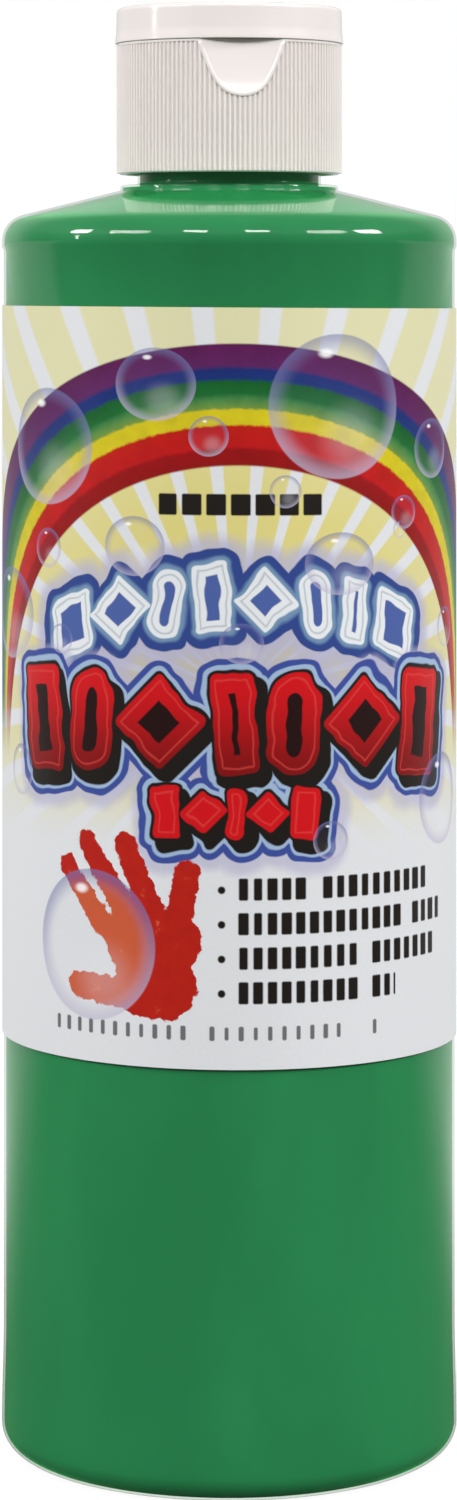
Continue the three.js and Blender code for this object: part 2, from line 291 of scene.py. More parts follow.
bottle.data.materials.append(clear_pet)
bottle.data.materials.append(wetted_pet)
LAST_OUTSIDE = (len(distinct(outside)) - 1) * ROUND_STEPS
for face in bottle.data.polygons:
    face.material_index = int(min(face.vertices) > LAST_OUTSIDE)
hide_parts("bottle")
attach(bottle, "bottle")

# ---------------------------------------------------------------------------------------------------
# The paint: green tempera, which fills the bottle to the shoulder and leaves a wet coat on the wall
# above, up to the mouth. It is pressed against the plastic, so it looks smooth and even.
# ---------------------------------------------------------------------------------------------------

PAINT_GAP = 0.08 * MM
COAT = 0.35 * MM
OUTER_INSET = SKIN + PAINT_GAP
INNER_INSET = OUTER_INSET + COAT
COAT_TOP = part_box("paint_fill")[1].z
coat_r = NECK_BORE_R - PAINT_GAP
level_round = SHOULDER_ROUND - INNER_INSET
level_r = BODY_R - SHOULDER_ROUND + level_round * math.sin(SHOULDER_SLOPE)
level = SHOULDER_START + level_round * math.cos(SHOULDER_SLOPE)
liquid = wall_outline(OUTER_INSET, BEAD_R - OUTER_INSET)
liquid += neck_inside(OUTER_INSET, coat_r)
liquid += straight((coat_r, NECK_LEDGE), (coat_r, COAT_TOP), 8)
inner_r = coat_r - COAT
liquid += straight((inner_r, COAT_TOP), (inner_r, shoulder_height(inner_r, INNER_INSET)), 8)
liquid += straight((inner_r, shoulder_height(inner_r, INNER_INSET)), (level_r, level), 10)
liquid += straight((level_r, level), (0, level), 6)
paint = turned("paint", liquid)

# Tempera is a thick suspension of pigment and chalk. Where it settles, broad faint streaks of a
# slightly lighter green drift through it. The round wall gathers light at the bottle's sides, which
# brightens the paint there like a green sheen.
LIGHT_GREEN = "#308F5D"
DARK_GREEN = "#2C8758"
tempera, tree = new_material("green_tempera_paint")
place = add(tree, "ShaderNodeTexCoord").outputs["Object"]
streak_place = add(tree, "ShaderNodeMapping", place, named={"Scale": (1, 1, 0.3)})
streaks = add(
    tree, "ShaderNodeTexNoise", streak_place, named={"Scale": 1 / (16 * MM), "Detail": 3.0, "Distortion": 0.6}
)
drift = add(tree, "ShaderNodeMapRange", streaks, 0.35, 0.65, 0.0, 1.0)
colour = add(tree, "ShaderNodeMix", drift, linear(DARK_GREEN), linear(LIGHT_GREEN), data_type="RGBA")
wet = add(
    tree,
    "ShaderNodeBsdfPrincipled",
    named={
        "Base Color": colour,
        "Roughness": 0.45,
        "Specular IOR Level": 0.1,
        "IOR": 1.5,
        "Sheen Weight": 0.8,
        "Sheen Roughness": 0.3,
        "Sheen Tint": linear("#5CFF98"),
    },
)
add(tree, "ShaderNodeOutputMaterial", wet)
paint.data.materials.append(tempera)
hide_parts("paint_fill")
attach(paint, "bottle")

# ---------------------------------------------------------------------------------------------------
# The label: one printed film wrapped round the panel and glued, with its two ends a few millimetres
# apart at the back. It went on very slightly askew.
# ---------------------------------------------------------------------------------------------------

LABEL_LOW, LABEL_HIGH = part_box("label")
LABEL_R = BODY_R
LABEL_THICK = 0.12 * MM
LABEL_INSET = 0.01 * MM
LABEL_GAP = math.radians(4)
LABEL_HEIGHT = LABEL_HIGH.z - LABEL_LOW.z
LABEL_SKEW = 0.2 * MM
LABEL_COLUMNS = 256
LABEL_ROWS = 12


def label_strip():
    """The film as a closed band, with a UV map that runs once round the bottle and once up the film."""
    start, end = math.pi / 2 + LABEL_GAP / 2, 2.5 * math.pi - LABEL_GAP / 2
    vertices, flat = [], []
    for r in (LABEL_R - LABEL_INSET, LABEL_R - LABEL_THICK):
        for i in range(LABEL_ROWS + 1):
            for j in range(LABEL_COLUMNS + 1):
                a = start + (end - start) * j / LABEL_COLUMNS
                v = i / LABEL_ROWS
                lean = -LABEL_SKEW * math.cos(a)
                z = LABEL_LOW.z + LABEL_SKEW + v * (LABEL_HEIGHT - 2 * LABEL_SKEW) + lean
                vertices.append((r * math.cos(a), r * math.sin(a), z))
                flat.append(((a - math.pi / 2) / (2 * math.pi), v))
    mesh = bpy.data.meshes.new("label_film")
    mesh.from_pydata(vertices, [], sheet_faces(LABEL_ROWS, LABEL_COLUMNS))
    chart = mesh.uv_layers.new(name="film")
    for loop in mesh.loops:
        chart.data[loop.index].uv = flat[loop.vertex_index]
    return smoothed("label_film", mesh)


label = label_strip()

# The print, in millimetres on the film: a sunburst, a rainbow, soap bubbles, a hand print and rows of
# plain marks where lettering would be. Each ink is laid over the last inside a distance from a shape.


def new_group(name, takes, gives):
    """A shader node group with named sockets, and its input node."""
    group = bpy.data.node_groups.new(name, "ShaderNodeTree")
    for way, sockets in (("INPUT", takes), ("OUTPUT", gives)):
        for socket, kind in sockets.items():
            group.interface.new_socket(socket, in_out=way, socket_type="NodeSocket" + kind)
    return group, add(group, "NodeGroupInput").outputs


EASED = {"interpolation_type": "SMOOTHSTEP", "clamp": False}
ink_over, given = new_group(
    "ink_over",
    {"Under": "Color", "Ink": "Color", "Distance": "Float",
     "Edge": "Float", "Soft": "Float", "Density": "Float"},
    {"Colour": "Color"},
)
outer = add(ink_over, "ShaderNodeMath", given["Edge"], given["Soft"], operation="ADD")
inner = add(ink_over, "ShaderNodeMath", given["Edge"], given["Soft"], operation="SUBTRACT")
laid = add(ink_over, "ShaderNodeMapRange", given["Distance"], outer, inner, 0.0, given["Density"], **EASED)
mixed = add(ink_over, "ShaderNodeMix", laid, given["Under"], given["Ink"], data_type="RGBA")
add(ink_over, "NodeGroupOutput", mixed)

block_shape, given = new_group(
    "block_shape",
    {"Place": "Vector", "Centre": "Vector", "Half size": "Vector",
     "Across": "Vector", "Up": "Vector", "Round": "Float"},
    {"Distance": "Float"},
)
moved = add(block_shape, "ShaderNodeVectorMath", given["Place"], given["Centre"], operation="SUBTRACT")
across = add(block_shape, "ShaderNodeVectorMath", moved, given["Across"], operation="DOT_PRODUCT")
across = add(block_shape, "ShaderNodeMath", across, operation="ABSOLUTE")
up = add(block_shape, "ShaderNodeVectorMath", moved, given["Up"], operation="DOT_PRODUCT")
up = add(block_shape, "ShaderNodeMath", up, operation="ABSOLUTE")
beyond = add(block_shape, "ShaderNodeCombineXYZ", across, up)
beyond = add(block_shape, "ShaderNodeVectorMath", beyond, given["Half size"], operation="SUBTRACT")
corner = add(block_shape, "ShaderNodeCombineXYZ", given["Round"], given["Round"])
beyond = add(block_shape, "ShaderNodeVectorMath", beyond, corner, operation="ADD")
deep_x = add(block_shape, "ShaderNodeVectorMath", beyond, (1, 0, 0), operation="DOT_PRODUCT")
deep_y = add(block_shape, "ShaderNodeVectorMath", beyond, (0, 1, 0), operation="DOT_PRODUCT")
deep = add(block_shape, "ShaderNodeMath", deep_x, deep_y, operation="MAXIMUM")
deep = add(block_shape, "ShaderNodeMath", deep, 0.0, operation="MINIMUM")
far = add(block_shape, "ShaderNodeVectorMath", beyond, (0, 0, 0), operation="MAXIMUM")
far = add(block_shape, "ShaderNodeVectorMath", far, operation="LENGTH")
total = add(block_shape, "ShaderNodeMath", far, deep, operation="ADD")
total = add(block_shape, "ShaderNodeMath", total, given["Round"], operation="SUBTRACT")
add(block_shape, "NodeGroupOutput", total)

finger_shape, given = new_group(
    "finger_shape",
    {"Place": "Vector", "Root": "Vector", "Tip": "Vector", "Root width": "Float", "Tip width": "Float"},
    {"Distance": "Float"},
)
from_root = add(finger_shape, "ShaderNodeVectorMath", given["Place"], given["Root"], operation="SUBTRACT")
bone = add(finger_shape, "ShaderNodeVectorMath", given["Tip"], given["Root"], operation="SUBTRACT")
along = add(finger_shape, "ShaderNodeVectorMath", from_root, bone, operation="DOT_PRODUCT")
whole = add(finger_shape, "ShaderNodeVectorMath", bone, bone, operation="DOT_PRODUCT")
part = add(finger_shape, "ShaderNodeMath", along, whole, operation="DIVIDE")
part = add(finger_shape, "ShaderNodeMath", part, 0.0, operation="MAXIMUM")
part = add(finger_shape, "ShaderNodeMath", part, 1.0, operation="MINIMUM")
reached = add(finger_shape, "ShaderNodeVectorMath", bone, operation="SCALE", named={"Scale": part})
away = add(finger_shape, "ShaderNodeVectorMath", from_root, reached, operation="SUBTRACT")
away = add(finger_shape, "ShaderNodeVectorMath", away, operation="LENGTH")
widths = given["Root width"], given["Tip width"]
width = add(finger_shape, "ShaderNodeMapRange", part, 0.0, 1.0, *widths, clamp=False)
away = add(finger_shape, "ShaderNodeMath", away, width, operation="SUBTRACT")
add(finger_shape, "NodeGroupOutput", away)

mark_row, given = new_group(
    "mark_row",
    {"Place": "Vector", "Start": "Vector", "Length": "Float",
     "Pitch": "Float", "Half size": "Vector", "Seed": "Float"},
    {"Distance": "Float"},
)
moved = add(mark_row, "ShaderNodeVectorMath", given["Place"], given["Start"], operation="SUBTRACT")
run = add(mark_row, "ShaderNodeVectorMath", moved, (1, 0, 0), operation="DOT_PRODUCT")
rise = add(mark_row, "ShaderNodeVectorMath", moved, (0, 1, 0), operation="DOT_PRODUCT")
cell = add(mark_row, "ShaderNodeMath", run, given["Pitch"], operation="DIVIDE")
number = add(mark_row, "ShaderNodeMath", cell, operation="FLOOR")
number = add(mark_row, "ShaderNodeMath", number, given["Seed"], operation="ADD")
luck = add(mark_row, "ShaderNodeTexWhiteNoise", number, noise_dimensions="1D")
luck = add(mark_row, "ShaderNodeSeparateColor", luck.outputs["Color"]).outputs
cell = add(mark_row, "ShaderNodeMath", cell, operation="FRACT")
cell = add(mark_row, "ShaderNodeMath", cell, 0.5, operation="SUBTRACT")
cell = add(mark_row, "ShaderNodeMath", cell, given["Pitch"], operation="MULTIPLY")
local = add(mark_row, "ShaderNodeCombineXYZ", cell, rise)
slim = add(mark_row, "ShaderNodeMapRange", luck["Red"], 0.0, 1.0, 0.72, 1.0, clamp=False)
size = add(mark_row, "ShaderNodeVectorMath", given["Half size"], operation="SCALE", named={"Scale": slim})
size = add(mark_row, "ShaderNodeVectorMath", size, given["Half size"], (0, 0.2, 0), operation="MULTIPLY_ADD")
size = add(mark_row, "ShaderNodeVectorMath", given["Half size"], size, operation="MINIMUM")
upright = {"Across": (1, 0, 0), "Up": (0, 1, 0)}
values = {"Place": local, "Half size": size, "Round": 0.25, **upright}
shape = add(mark_row, "ShaderNodeGroup", node_tree=block_shape, named=values)
gap = add(mark_row, "ShaderNodeMath", luck["Green"], 0.86, operation="GREATER_THAN")
before = add(mark_row, "ShaderNodeMath", run, 0.0, operation="LESS_THAN")
after = add(mark_row, "ShaderNodeMath", run, given["Length"], operation="GREATER_THAN")
blank = add(mark_row, "ShaderNodeMath", gap, before, operation="ADD")
blank = add(mark_row, "ShaderNodeMath", blank, after, operation="ADD")
blank = add(mark_row, "ShaderNodeMath", blank, 9.0, shape, operation="MULTIPLY_ADD")
add(mark_row, "NodeGroupOutput", blank)

bubble, given = new_group(
    "bubble",
    {"Under": "Color", "Place": "Vector", "Centre": "Vector", "Half size": "Vector"},
    {"Colour": "Color"},
)
moved = add(bubble, "ShaderNodeVectorMath", given["Place"], given["Centre"], operation="SUBTRACT")
local = add(bubble, "ShaderNodeVectorMath", moved, given["Half size"], operation="DIVIDE")
far = add(bubble, "ShaderNodeVectorMath", local, operation="LENGTH")
up = add(bubble, "ShaderNodeVectorMath", local, (0, 1, 0), operation="DOT_PRODUCT")
film_share = add(bubble, "ShaderNodeMapRange", far, 1.0, 0.965, 0.0, 1.0, **EASED)
thick = add(bubble, "ShaderNodeMapRange", far, 0.68, 1.0, 0.04, 0.62, **EASED)
thick = add(bubble, "ShaderNodeMath", thick, film_share, operation="MULTIPLY")
tone = add(bubble, "ShaderNodeMapRange", up, -0.7, 0.6, 0.0, 1.0, **EASED)
violet = add(bubble, "ShaderNodeMix", tone, linear("#B9B2CB"), linear("#6C6FA4"), data_type="RGBA")
mixed = add(bubble, "ShaderNodeMix", thick, given["Under"], violet, data_type="RGBA")
glow_far = add(bubble, "ShaderNodeVectorMath", local, (0.2, -0.42, 0), operation="DISTANCE")
glow = add(bubble, "ShaderNodeMapRange", glow_far, 0.62, 0.1, 0.0, 0.16, **EASED)
mixed = add(bubble, "ShaderNodeMix", glow, mixed, linear("#E9E9F2"), data_type="RGBA")
spot = add(bubble, "ShaderNodeVectorMath", local, (-0.18, 0.72, 0), operation="SUBTRACT")
spot = add(bubble, "ShaderNodeVectorMath", spot, (1.0, 1.7, 1.0), operation="MULTIPLY")
spot = add(bubble, "ShaderNodeVectorMath", spot, operation="LENGTH")
spot = add(bubble, "ShaderNodeMapRange", spot, 0.15, 0.04, 0.0, 0.8, **EASED)
mixed = add(bubble, "ShaderNodeMix", spot, mixed, linear("#FFFFFF"), data_type="RGBA")
mixed = add(bubble, "ShaderNodeMix", film_share, given["Under"], mixed, data_type="RGBA")
add(bubble, "NodeGroupOutput", mixed)


def lay(tree, under, ink, distance, edge=0.0, soft=0.12, density=1.0):
    """Lays an ink over the print so far, inside an edge round a shape."""
    values = {"Under": under, "Ink": ink, "Distance": distance, "Edge": edge, "Soft": soft, "Density": density}
    return add(tree, "ShaderNodeGroup", node_tree=ink_over, named=values)


def nearest(tree, distances, blend=None):
    """The least of several distances, with corners between the shapes rounded off if blend is given."""
    least = None
    for distance in distances:
        if least is None:
            least = distance
        elif blend:
            least = add(tree, "ShaderNodeMath", least, distance, blend, operation="SMOOTH_MIN")
        else:
            least = add(tree, "ShaderNodeMath", least, distance, operation="MINIMUM")
    return least


# The film is printed in process inks on white polypropylene and laminated, so it has an even satin gloss.
printed, tree = new_material("printed_label_film")
sheet = add(tree, "ShaderNodeUVMap", uv_map="film")
flat = add(
    tree,
    "ShaderNodeMapping",
    sheet,
    named={
        "Location": (-math.pi * LABEL_R / MM, 0, 0),
        "Scale": (2 * math.pi * LABEL_R / MM, LABEL_HEIGHT / MM, 1),
    },
).outputs[0]
axes = add(tree, "ShaderNodeSeparateXYZ", flat).outputs
WHITE, INK_BLACK = linear("#DCDEE1"), linear("#1A1410")
speck = add(tree, "ShaderNodeTexNoise", flat, named={"Scale": 1 / 0.5, "Detail": 2.0}).outputs[0]
paper = add(tree, "ShaderNodeMix", speck, linear("#D9DBDE"), linear("#DFE1E3"), data_type="RGBA")

# The sunburst: 35 pale yellow rays that fade out above the foot of the film and at its back.
from_sun = add(tree, "ShaderNodeVectorMath", flat, (1, 49, 0), operation="SUBTRACT")
sun_x = add(tree, "ShaderNodeVectorMath", from_sun, (1, 0, 0), operation="DOT_PRODUCT")
sun_y = add(tree, "ShaderNodeVectorMath", from_sun, (0, 1, 0), operation="DOT_PRODUCT")
ray = add(tree, "ShaderNodeMath", sun_y, sun_x, operation="ARCTAN2")
ray = add(tree, "ShaderNodeMath", ray, 35 / (2 * math.pi), 0.75, operation="MULTIPLY_ADD")
ray = add(tree, "ShaderNodeMath", ray, 0.5, operation="PINGPONG")
ray = add(tree, "ShaderNodeMapRange", ray, 0.13, 0.19, 0.0, 1.0, **EASED)
low_fade = add(tree, "ShaderNodeMapRange", axes["Y"], 27.0, 44.0, 0.0, 1.0, **EASED)
aside = add(tree, "ShaderNodeMath", axes["X"], operation="ABSOLUTE")
back_fade = add(tree, "ShaderNodeMapRange", aside, 58.0, 50.0, 0.0, 1.0, **EASED)
ray = add(tree, "ShaderNodeMath", ray, low_fade, operation="MULTIPLY")
ray = add(tree, "ShaderNodeMath", ray, back_fade, operation="MULTIPLY")
sun_far = add(tree, "ShaderNodeVectorMath", from_sun, operation="LENGTH")
sun_far = add(tree, "ShaderNodeMapRange", sun_far, 22.0, 46.0, 0.0, 1.0, **EASED)
yellow = add(tree, "ShaderNodeMix", sun_far, linear("#DACF80"), linear("#DAD7AC"), data_type="RGBA")
art = add(tree, "ShaderNodeMix", ray, paper, yellow, data_type="RGBA")

# A grey lavender haze behind the title rows.
haze = add(tree, "ShaderNodeVectorMath", from_sun, (1 / 40, 1 / 17, 0), operation="MULTIPLY")
haze = add(tree, "ShaderNodeVectorMath", haze, operation="LENGTH")
puff = add(tree, "ShaderNodeTexNoise", flat, named={"Scale": 1 / 7, "Detail": 3.0})
haze = add(tree, "ShaderNodeMath", puff, 0.7, haze, operation="MULTIPLY_ADD")
art = lay(tree, art, linear("#A9A9BC"), haze, 1.15, 0.22, 0.6)

# The rainbow: six bands between two ellipses, with a slightly ragged inner edge and fading legs.
over = add(tree, "ShaderNodeVectorMath", flat, (1.2, 54.6, 0), operation="SUBTRACT")
over = add(tree, "ShaderNodeVectorMath", over, (50, 40, 1), operation="DIVIDE")
over = add(tree, "ShaderNodeVectorMath", over, operation="LENGTH")
over = add(tree, "ShaderNodeMath", 1.0, over, operation="SUBTRACT")
under = add(tree, "ShaderNodeVectorMath", flat, (1.3, 35.4, 0), operation="SUBTRACT")
under = add(tree, "ShaderNodeVectorMath", under, (40.7, 43.3, 1), operation="DIVIDE")
under = add(tree, "ShaderNodeVectorMath", under, operation="LENGTH")
under = add(tree, "ShaderNodeMath", under, 1.0, operation="SUBTRACT")
span = add(tree, "ShaderNodeMath", over, under, operation="ADD")
band = add(tree, "ShaderNodeMath", over, span, operation="DIVIDE")
grit = add(tree, "ShaderNodeTexNoise", flat, named={"Scale": 1 / 0.9, "Detail": 3.0})
grit = add(tree, "ShaderNodeMapRange", grit, 0.0, 1.0, -0.018, 0.018, clamp=False)
ragged = add(tree, "ShaderNodeMath", band, grit, operation="ADD")
bands = add(tree, "ShaderNodeValToRGB", ragged)
RAINBOW = [
    (0.0, "#57104B"),
    (0.19, "#5A1E5C"),
    (0.225, "#152A70"),
    (0.30, "#122E72"),
    (0.33, "#0A5A22"),
    (0.43, "#14662C"),
    (0.47, "#3F7E42"),
    (0.545, "#6C903E"),
    (0.565, "#CEBE18"),
    (0.675, "#CEBE1C"),
    (0.695, "#B71608"),
    (0.85, "#BA1012"),
    (0.88, "#92060A"),
    (1.0, "#8C0A0A"),
]
while len(bands.color_ramp.elements) < len(RAINBOW):
    bands.color_ramp.elements.new(1.0)
for stop, (position, hex_code) in zip(bands.color_ramp.elements, RAINBOW):
    stop.position, stop.color = position, linear(hex_code)
shade = add(tree, "ShaderNodeTexNoise", flat, named={"Scale": 1 / 3, "Detail": 4.0})
shade = add(tree, "ShaderNodeMapRange", shade, 0.3, 0.7, 0.9, 1.1, clamp=False)
bands = add(tree, "ShaderNodeHueSaturation", named={"Value": shade, "Color": bands})
edges = add(tree, "ShaderNodeMath", over, under, operation="MINIMUM")
edges = add(tree, "ShaderNodeMath", edges, operation="MULTIPLY", named={1: -1.0})
legs = add(tree, "ShaderNodeMapRange", axes["Y"], 37.0, 48.0, 0.0, 1.0, **EASED)
art = lay(tree, art, bands, edges, 0.0, 0.004, legs)

# The upper title row: white blocks, lozenges and pills on an arch, with a teal inner line, a blue
# outline and a glow. A slow wobble in the place makes every title shape look drawn by hand.
wobble = add(tree, "ShaderNodeTexNoise", flat, named={"Scale": 1 / 4, "Detail": 1.0})
wobble = add(tree, "ShaderNodeMath", wobble, 1.5, -0.75, operation="MULTIPLY_ADD")
arched = add(tree, "ShaderNodeMath", axes["X"], 1.0, operation="SUBTRACT")
arched = add(tree, "ShaderNodeMath", arched, 2.0, operation="POWER")
arched = add(tree, "ShaderNodeMath", arched, 0.0066, axes["Y"], operation="MULTIPLY_ADD")
arched = add(tree, "ShaderNodeMath", arched, wobble, operation="ADD")
wobbly_x = add(tree, "ShaderNodeMath", axes["X"], wobble, operation="SUBTRACT")
arched = add(tree, "ShaderNodeCombineXYZ", wobbly_x, arched).outputs[0]
UPPER_ROW = [
    (-22.8, 61.0, 3.7, 4.3, 8, 1.2),
    (-14.9, 61.2, 3.4, 3.4, 45, 0.6),
    (-8.2, 61.1, 2.4, 4.7, -6, 2.4),
    (-2.2, 61.5, 2.6, 4.8, 4, 0.8),
    (4.8, 61.2, 3.3, 3.3, 45, 0.6),
    (11.7, 61.3, 2.5, 4.7, 6, 2.5),
    (17.3, 61.3, 2.0, 4.6, -4, 0.8),
    (24.1, 61.0, 3.7, 4.3, -8, 1.2),
]


def title_row(tree, place, row):
    """The distance from the nearest block of a row."""

    def blocks():
        for u, v, half_width, half_height, tilt, corner in row:
            values = {"Place": place, "Centre": (u, v, 0), "Half size": (half_width, half_height, 9)}
            c, s = math.cos(math.radians(tilt)), math.sin(math.radians(tilt))
            values.update({"Across": (c, s, 0), "Up": (-s, c, 0), "Round": corner})
            yield add(tree, "ShaderNodeGroup", node_tree=block_shape, named=values)

    return nearest(tree, blocks())


upper = title_row(tree, arched, UPPER_ROW)
art = lay(tree, art, linear("#B4B2CC"), upper, 3.0, 1.2, 0.8)
art = lay(tree, art, linear("#2E4488"), upper, 1.5)
art = lay(tree, art, linear("#6F8FB0"), upper, 0.35, 0.3)
art = lay(tree, art, linear("#E3E6E9"), upper, -0.2)
core = add(tree, "ShaderNodeMath", upper, 0.75, operation="ADD")
art = lay(tree, art, linear("#9AA8AE"), core, 0.0, 0.1, 0.6)
art = lay(tree, art, linear("#E3E6E9"), upper, -1.0)
art = lay(tree, art, linear("#4A5FA0"), upper, -1.75)

# The two lower title rows: red blocks that darken downwards, over a black shadow and two blue outlines.
LOWER_ROWS = [
    (-28.4, 44.6, 3.8, 7.0, 6, 1.0),
    (-19.4, 44.9, 3.4, 6.7, -4, 3.4),
    (-9.3, 45.1, 4.5, 4.5, 45, 0.8),
    (0.7, 45.1, 2.9, 6.6, 4, 1.0),
    (8.6, 44.9, 3.6, 6.7, -3, 3.6),
    (18.9, 45.0, 4.5, 4.5, 45, 0.8),
    (29.4, 44.4, 4.0, 7.1, -6, 1.0),
    (-8.4, 33.4, 1.9, 3.4, 4, 0.6),
    (-3.4, 33.5, 2.1, 2.1, 45, 0.4),
    (0.9, 33.5, 1.3, 3.4, 0, 1.3),
    (5.2, 33.5, 2.1, 2.1, 45, 0.4),
    (10.1, 33.4, 1.9, 3.4, -4, 0.6),
]
shaken = add(tree, "ShaderNodeCombineXYZ", wobble, wobble)
shaken = add(tree, "ShaderNodeVectorMath", flat, shaken, operation="ADD")
lower = title_row(tree, shaken, LOWER_ROWS)
dropped = add(tree, "ShaderNodeVectorMath", shaken, (-0.9, 1.2, 0), operation="ADD")
lower_shadow = title_row(tree, dropped, LOWER_ROWS)
art = lay(tree, art, linear("#B4B2CC"), lower_shadow, 3.4, 0.9, 0.7)
art = lay(tree, art, linear("#3A4C96"), nearest(tree, [lower, lower_shadow]), 1.9)
art = lay(tree, art, linear("#9DB4D0"), nearest(tree, [lower, lower_shadow]), 1.1)
art = lay(tree, art, INK_BLACK, lower_shadow, 0.7)
art = lay(tree, art, INK_BLACK, lower, 0.45)
heat = add(tree, "ShaderNodeMapRange", axes["Y"], 38.0, 51.0, 0.0, 1.0, **EASED)
small = add(tree, "ShaderNodeMapRange", axes["Y"], 37.4, 37.0, **EASED)
heat = add(tree, "ShaderNodeMath", heat, small, operation="ADD")
red = add(tree, "ShaderNodeMix", heat, linear("#7E080A"), linear("#CC0C16"), data_type="RGBA")
art = lay(tree, art, red, lower, 0.0)
shine = add(tree, "ShaderNodeMath", lower, 0.8, operation="ADD")
shine = add(tree, "ShaderNodeMath", shine, operation="ABSOLUTE")
art = lay(tree, art, linear("#D9453F"), shine, 0.12, 0.12, 0.55)
art = lay(tree, art, linear("#200606"), lower, -2.5)

# The hand print: a palm, four fingers and a thumb, dabbed on with gaps where the skin does not touch.
HAND = [
    ((-17.4, 18.2), (-23.4, 25.6), 1.6, 1.4),
    ((-14.3, 20.6), (-20.0, 29.0), 1.8, 1.5),
    ((-10.6, 20.9), (-14.1, 29.0), 1.8, 1.6),
    ((-6.6, 19.5), (-5.5, 25.6), 1.8, 1.7),
    ((-13.5, 9.4), (-21.4, 9.9), 2.2, 1.7),
    ((-12.4, 16.6), (-8.0, 16.4), 4.6, 4.4),
    ((-11.0, 11.0), (-8.6, 10.6), 4.6, 4.4),
]
values = [
    {"Place": flat, "Root": (*root, 0), "Tip": (*tip, 0), "Root width": broad, "Tip width": narrow}
    for root, tip, broad, narrow in HAND
]
hand = nearest(tree, (add(tree, "ShaderNodeGroup", node_tree=finger_shape, named=v) for v in values), 1.0)
dab = add(tree, "ShaderNodeTexNoise", flat, named={"Scale": 1 / 1.1, "Detail": 4.0})
dab = add(tree, "ShaderNodeMapRange", dab, 0.35, 0.75, -0.2, 0.35, clamp=False)
dabbed = add(tree, "ShaderNodeMath", hand, dab, operation="ADD")
creases = add(tree, "ShaderNodeTexNoise", flat, named={"Scale": 1 / 2.2, "Detail": 5.0, "Roughness": 0.65})
scarlet = add(tree, "ShaderNodeMix", creases, linear("#A01510"), linear("#C2220F"), data_type="RGBA")
art = lay(tree, art, scarlet, dabbed, 0.0, 0.1)
bleached = add(tree, "ShaderNodeMapRange", creases, 0.62, 0.72, 0.0, 0.35, **EASED)
streaked = add(tree, "ShaderNodeMath", hand, 0.8, operation="ADD")
art = lay(tree, art, linear("#D98C5E"), streaked, 0.0, 0.2, bleached)

# Rows of plain marks: the dark bar under the rainbow, four bulleted lines, a fine dotted row at the
# foot, and the small lines of the panels at the back.
MARK_ROWS = [
    ((-9.7, 73.6), 22.5, 3.2, (1.3, 1.4), 4.0),
    ((0.9, 23.5), 30.6, 1.9, (0.86, 1.45), 11.0),
    ((0.9, 19.0), 34.2, 1.9, (0.86, 1.45), 3.0),
    ((0.9, 14.5), 32.3, 1.9, (0.86, 1.45), 33.0),
    ((0.9, 10.0), 23.4, 1.9, (0.86, 1.45), 7.0),
]

# The small lines at the back repeat up the film, each with a number of its own.
LINE_PITCH = 3.4
line_of = add(tree, "ShaderNodeMath", axes["Y"], LINE_PITCH, operation="DIVIDE")
within = add(tree, "ShaderNodeMath", line_of, operation="FRACT")
line_of = add(tree, "ShaderNodeMath", line_of, operation="FLOOR")
line_of = add(tree, "ShaderNodeMath", line_of, 37.0, operation="MULTIPLY")
within = add(tree, "ShaderNodeMath", within, LINE_PITCH, -LINE_PITCH / 2, operation="MULTIPLY_ADD")
margin = add(tree, "ShaderNodeMath", axes["Y"], 48.0, operation="SUBTRACT")
margin = add(tree, "ShaderNodeMath", margin, operation="ABSOLUTE")
margin = add(tree, "ShaderNodeMath", margin, 42.0, operation="GREATER_THAN")
within = add(tree, "ShaderNodeMath", margin, 9.0, within, operation="MULTIPLY_ADD")
lined = add(tree, "ShaderNodeCombineXYZ", axes["X"], within).outputs[0]


def printed_rows():
    """The distance from each row of marks, and from the dot before each bulleted line."""
    for start, length, pitch, half, seed in MARK_ROWS:
        values = {"Place": flat, "Start": (*start, 0), "Length": length, "Pitch": pitch, "Half size": (*half, 9)}
        yield add(tree, "ShaderNodeGroup", node_tree=mark_row, named={**values, "Seed": seed})
    for start, length in ((-92.0, 34.0), (58.0, 30.0)):
        values = {"Place": lined, "Start": (start, 0, 0), "Length": length, "Pitch": 1.4}
        values = {**values, "Half size": (0.55, 0.8, 9), "Seed": line_of}
        yield add(tree, "ShaderNodeGroup", node_tree=mark_row, named=values)
    for v in (23.4, 18.9, 14.4, 9.9):
        dot = add(tree, "ShaderNodeVectorMath", flat, (-1.0, v, 0), operation="DISTANCE")
        yield add(tree, "ShaderNodeMath", dot, 0.5, operation="SUBTRACT")


art = lay(tree, art, INK_BLACK, nearest(tree, printed_rows()))
dots = {"Place": flat, "Start": (-26, 4.7, 0), "Length": 48.0, "Pitch": 1.9}
dots = {**dots, "Half size": (0.6, 0.95, 9), "Seed": 5.0}
dots = add(tree, "ShaderNodeGroup", node_tree=mark_row, named=dots)
art = lay(tree, art, linear("#3C3C40"), dots, 0.0, 0.1, 0.85)

# Bars of uneven width on the back panel, as on any shelf product.
bars = add(tree, "ShaderNodeMath", axes["X"], 1 / 0.75, operation="MULTIPLY")
bars = add(tree, "ShaderNodeMath", bars, operation="FLOOR")
bars = add(tree, "ShaderNodeTexWhiteNoise", bars, noise_dimensions="1D").outputs[0]
bars = add(tree, "ShaderNodeMath", bars, 0.52, operation="GREATER_THAN")
panel = {"Place": flat, "Centre": (75, 27, 0), "Half size": (15, 8, 9), "Round": 0.1, **upright}
panel = add(tree, "ShaderNodeGroup", node_tree=block_shape, named=panel)
art = lay(tree, art, WHITE, panel, 2.0, 0.1)
art = lay(tree, art, INK_BLACK, panel, 0.0, 0.1, bars)

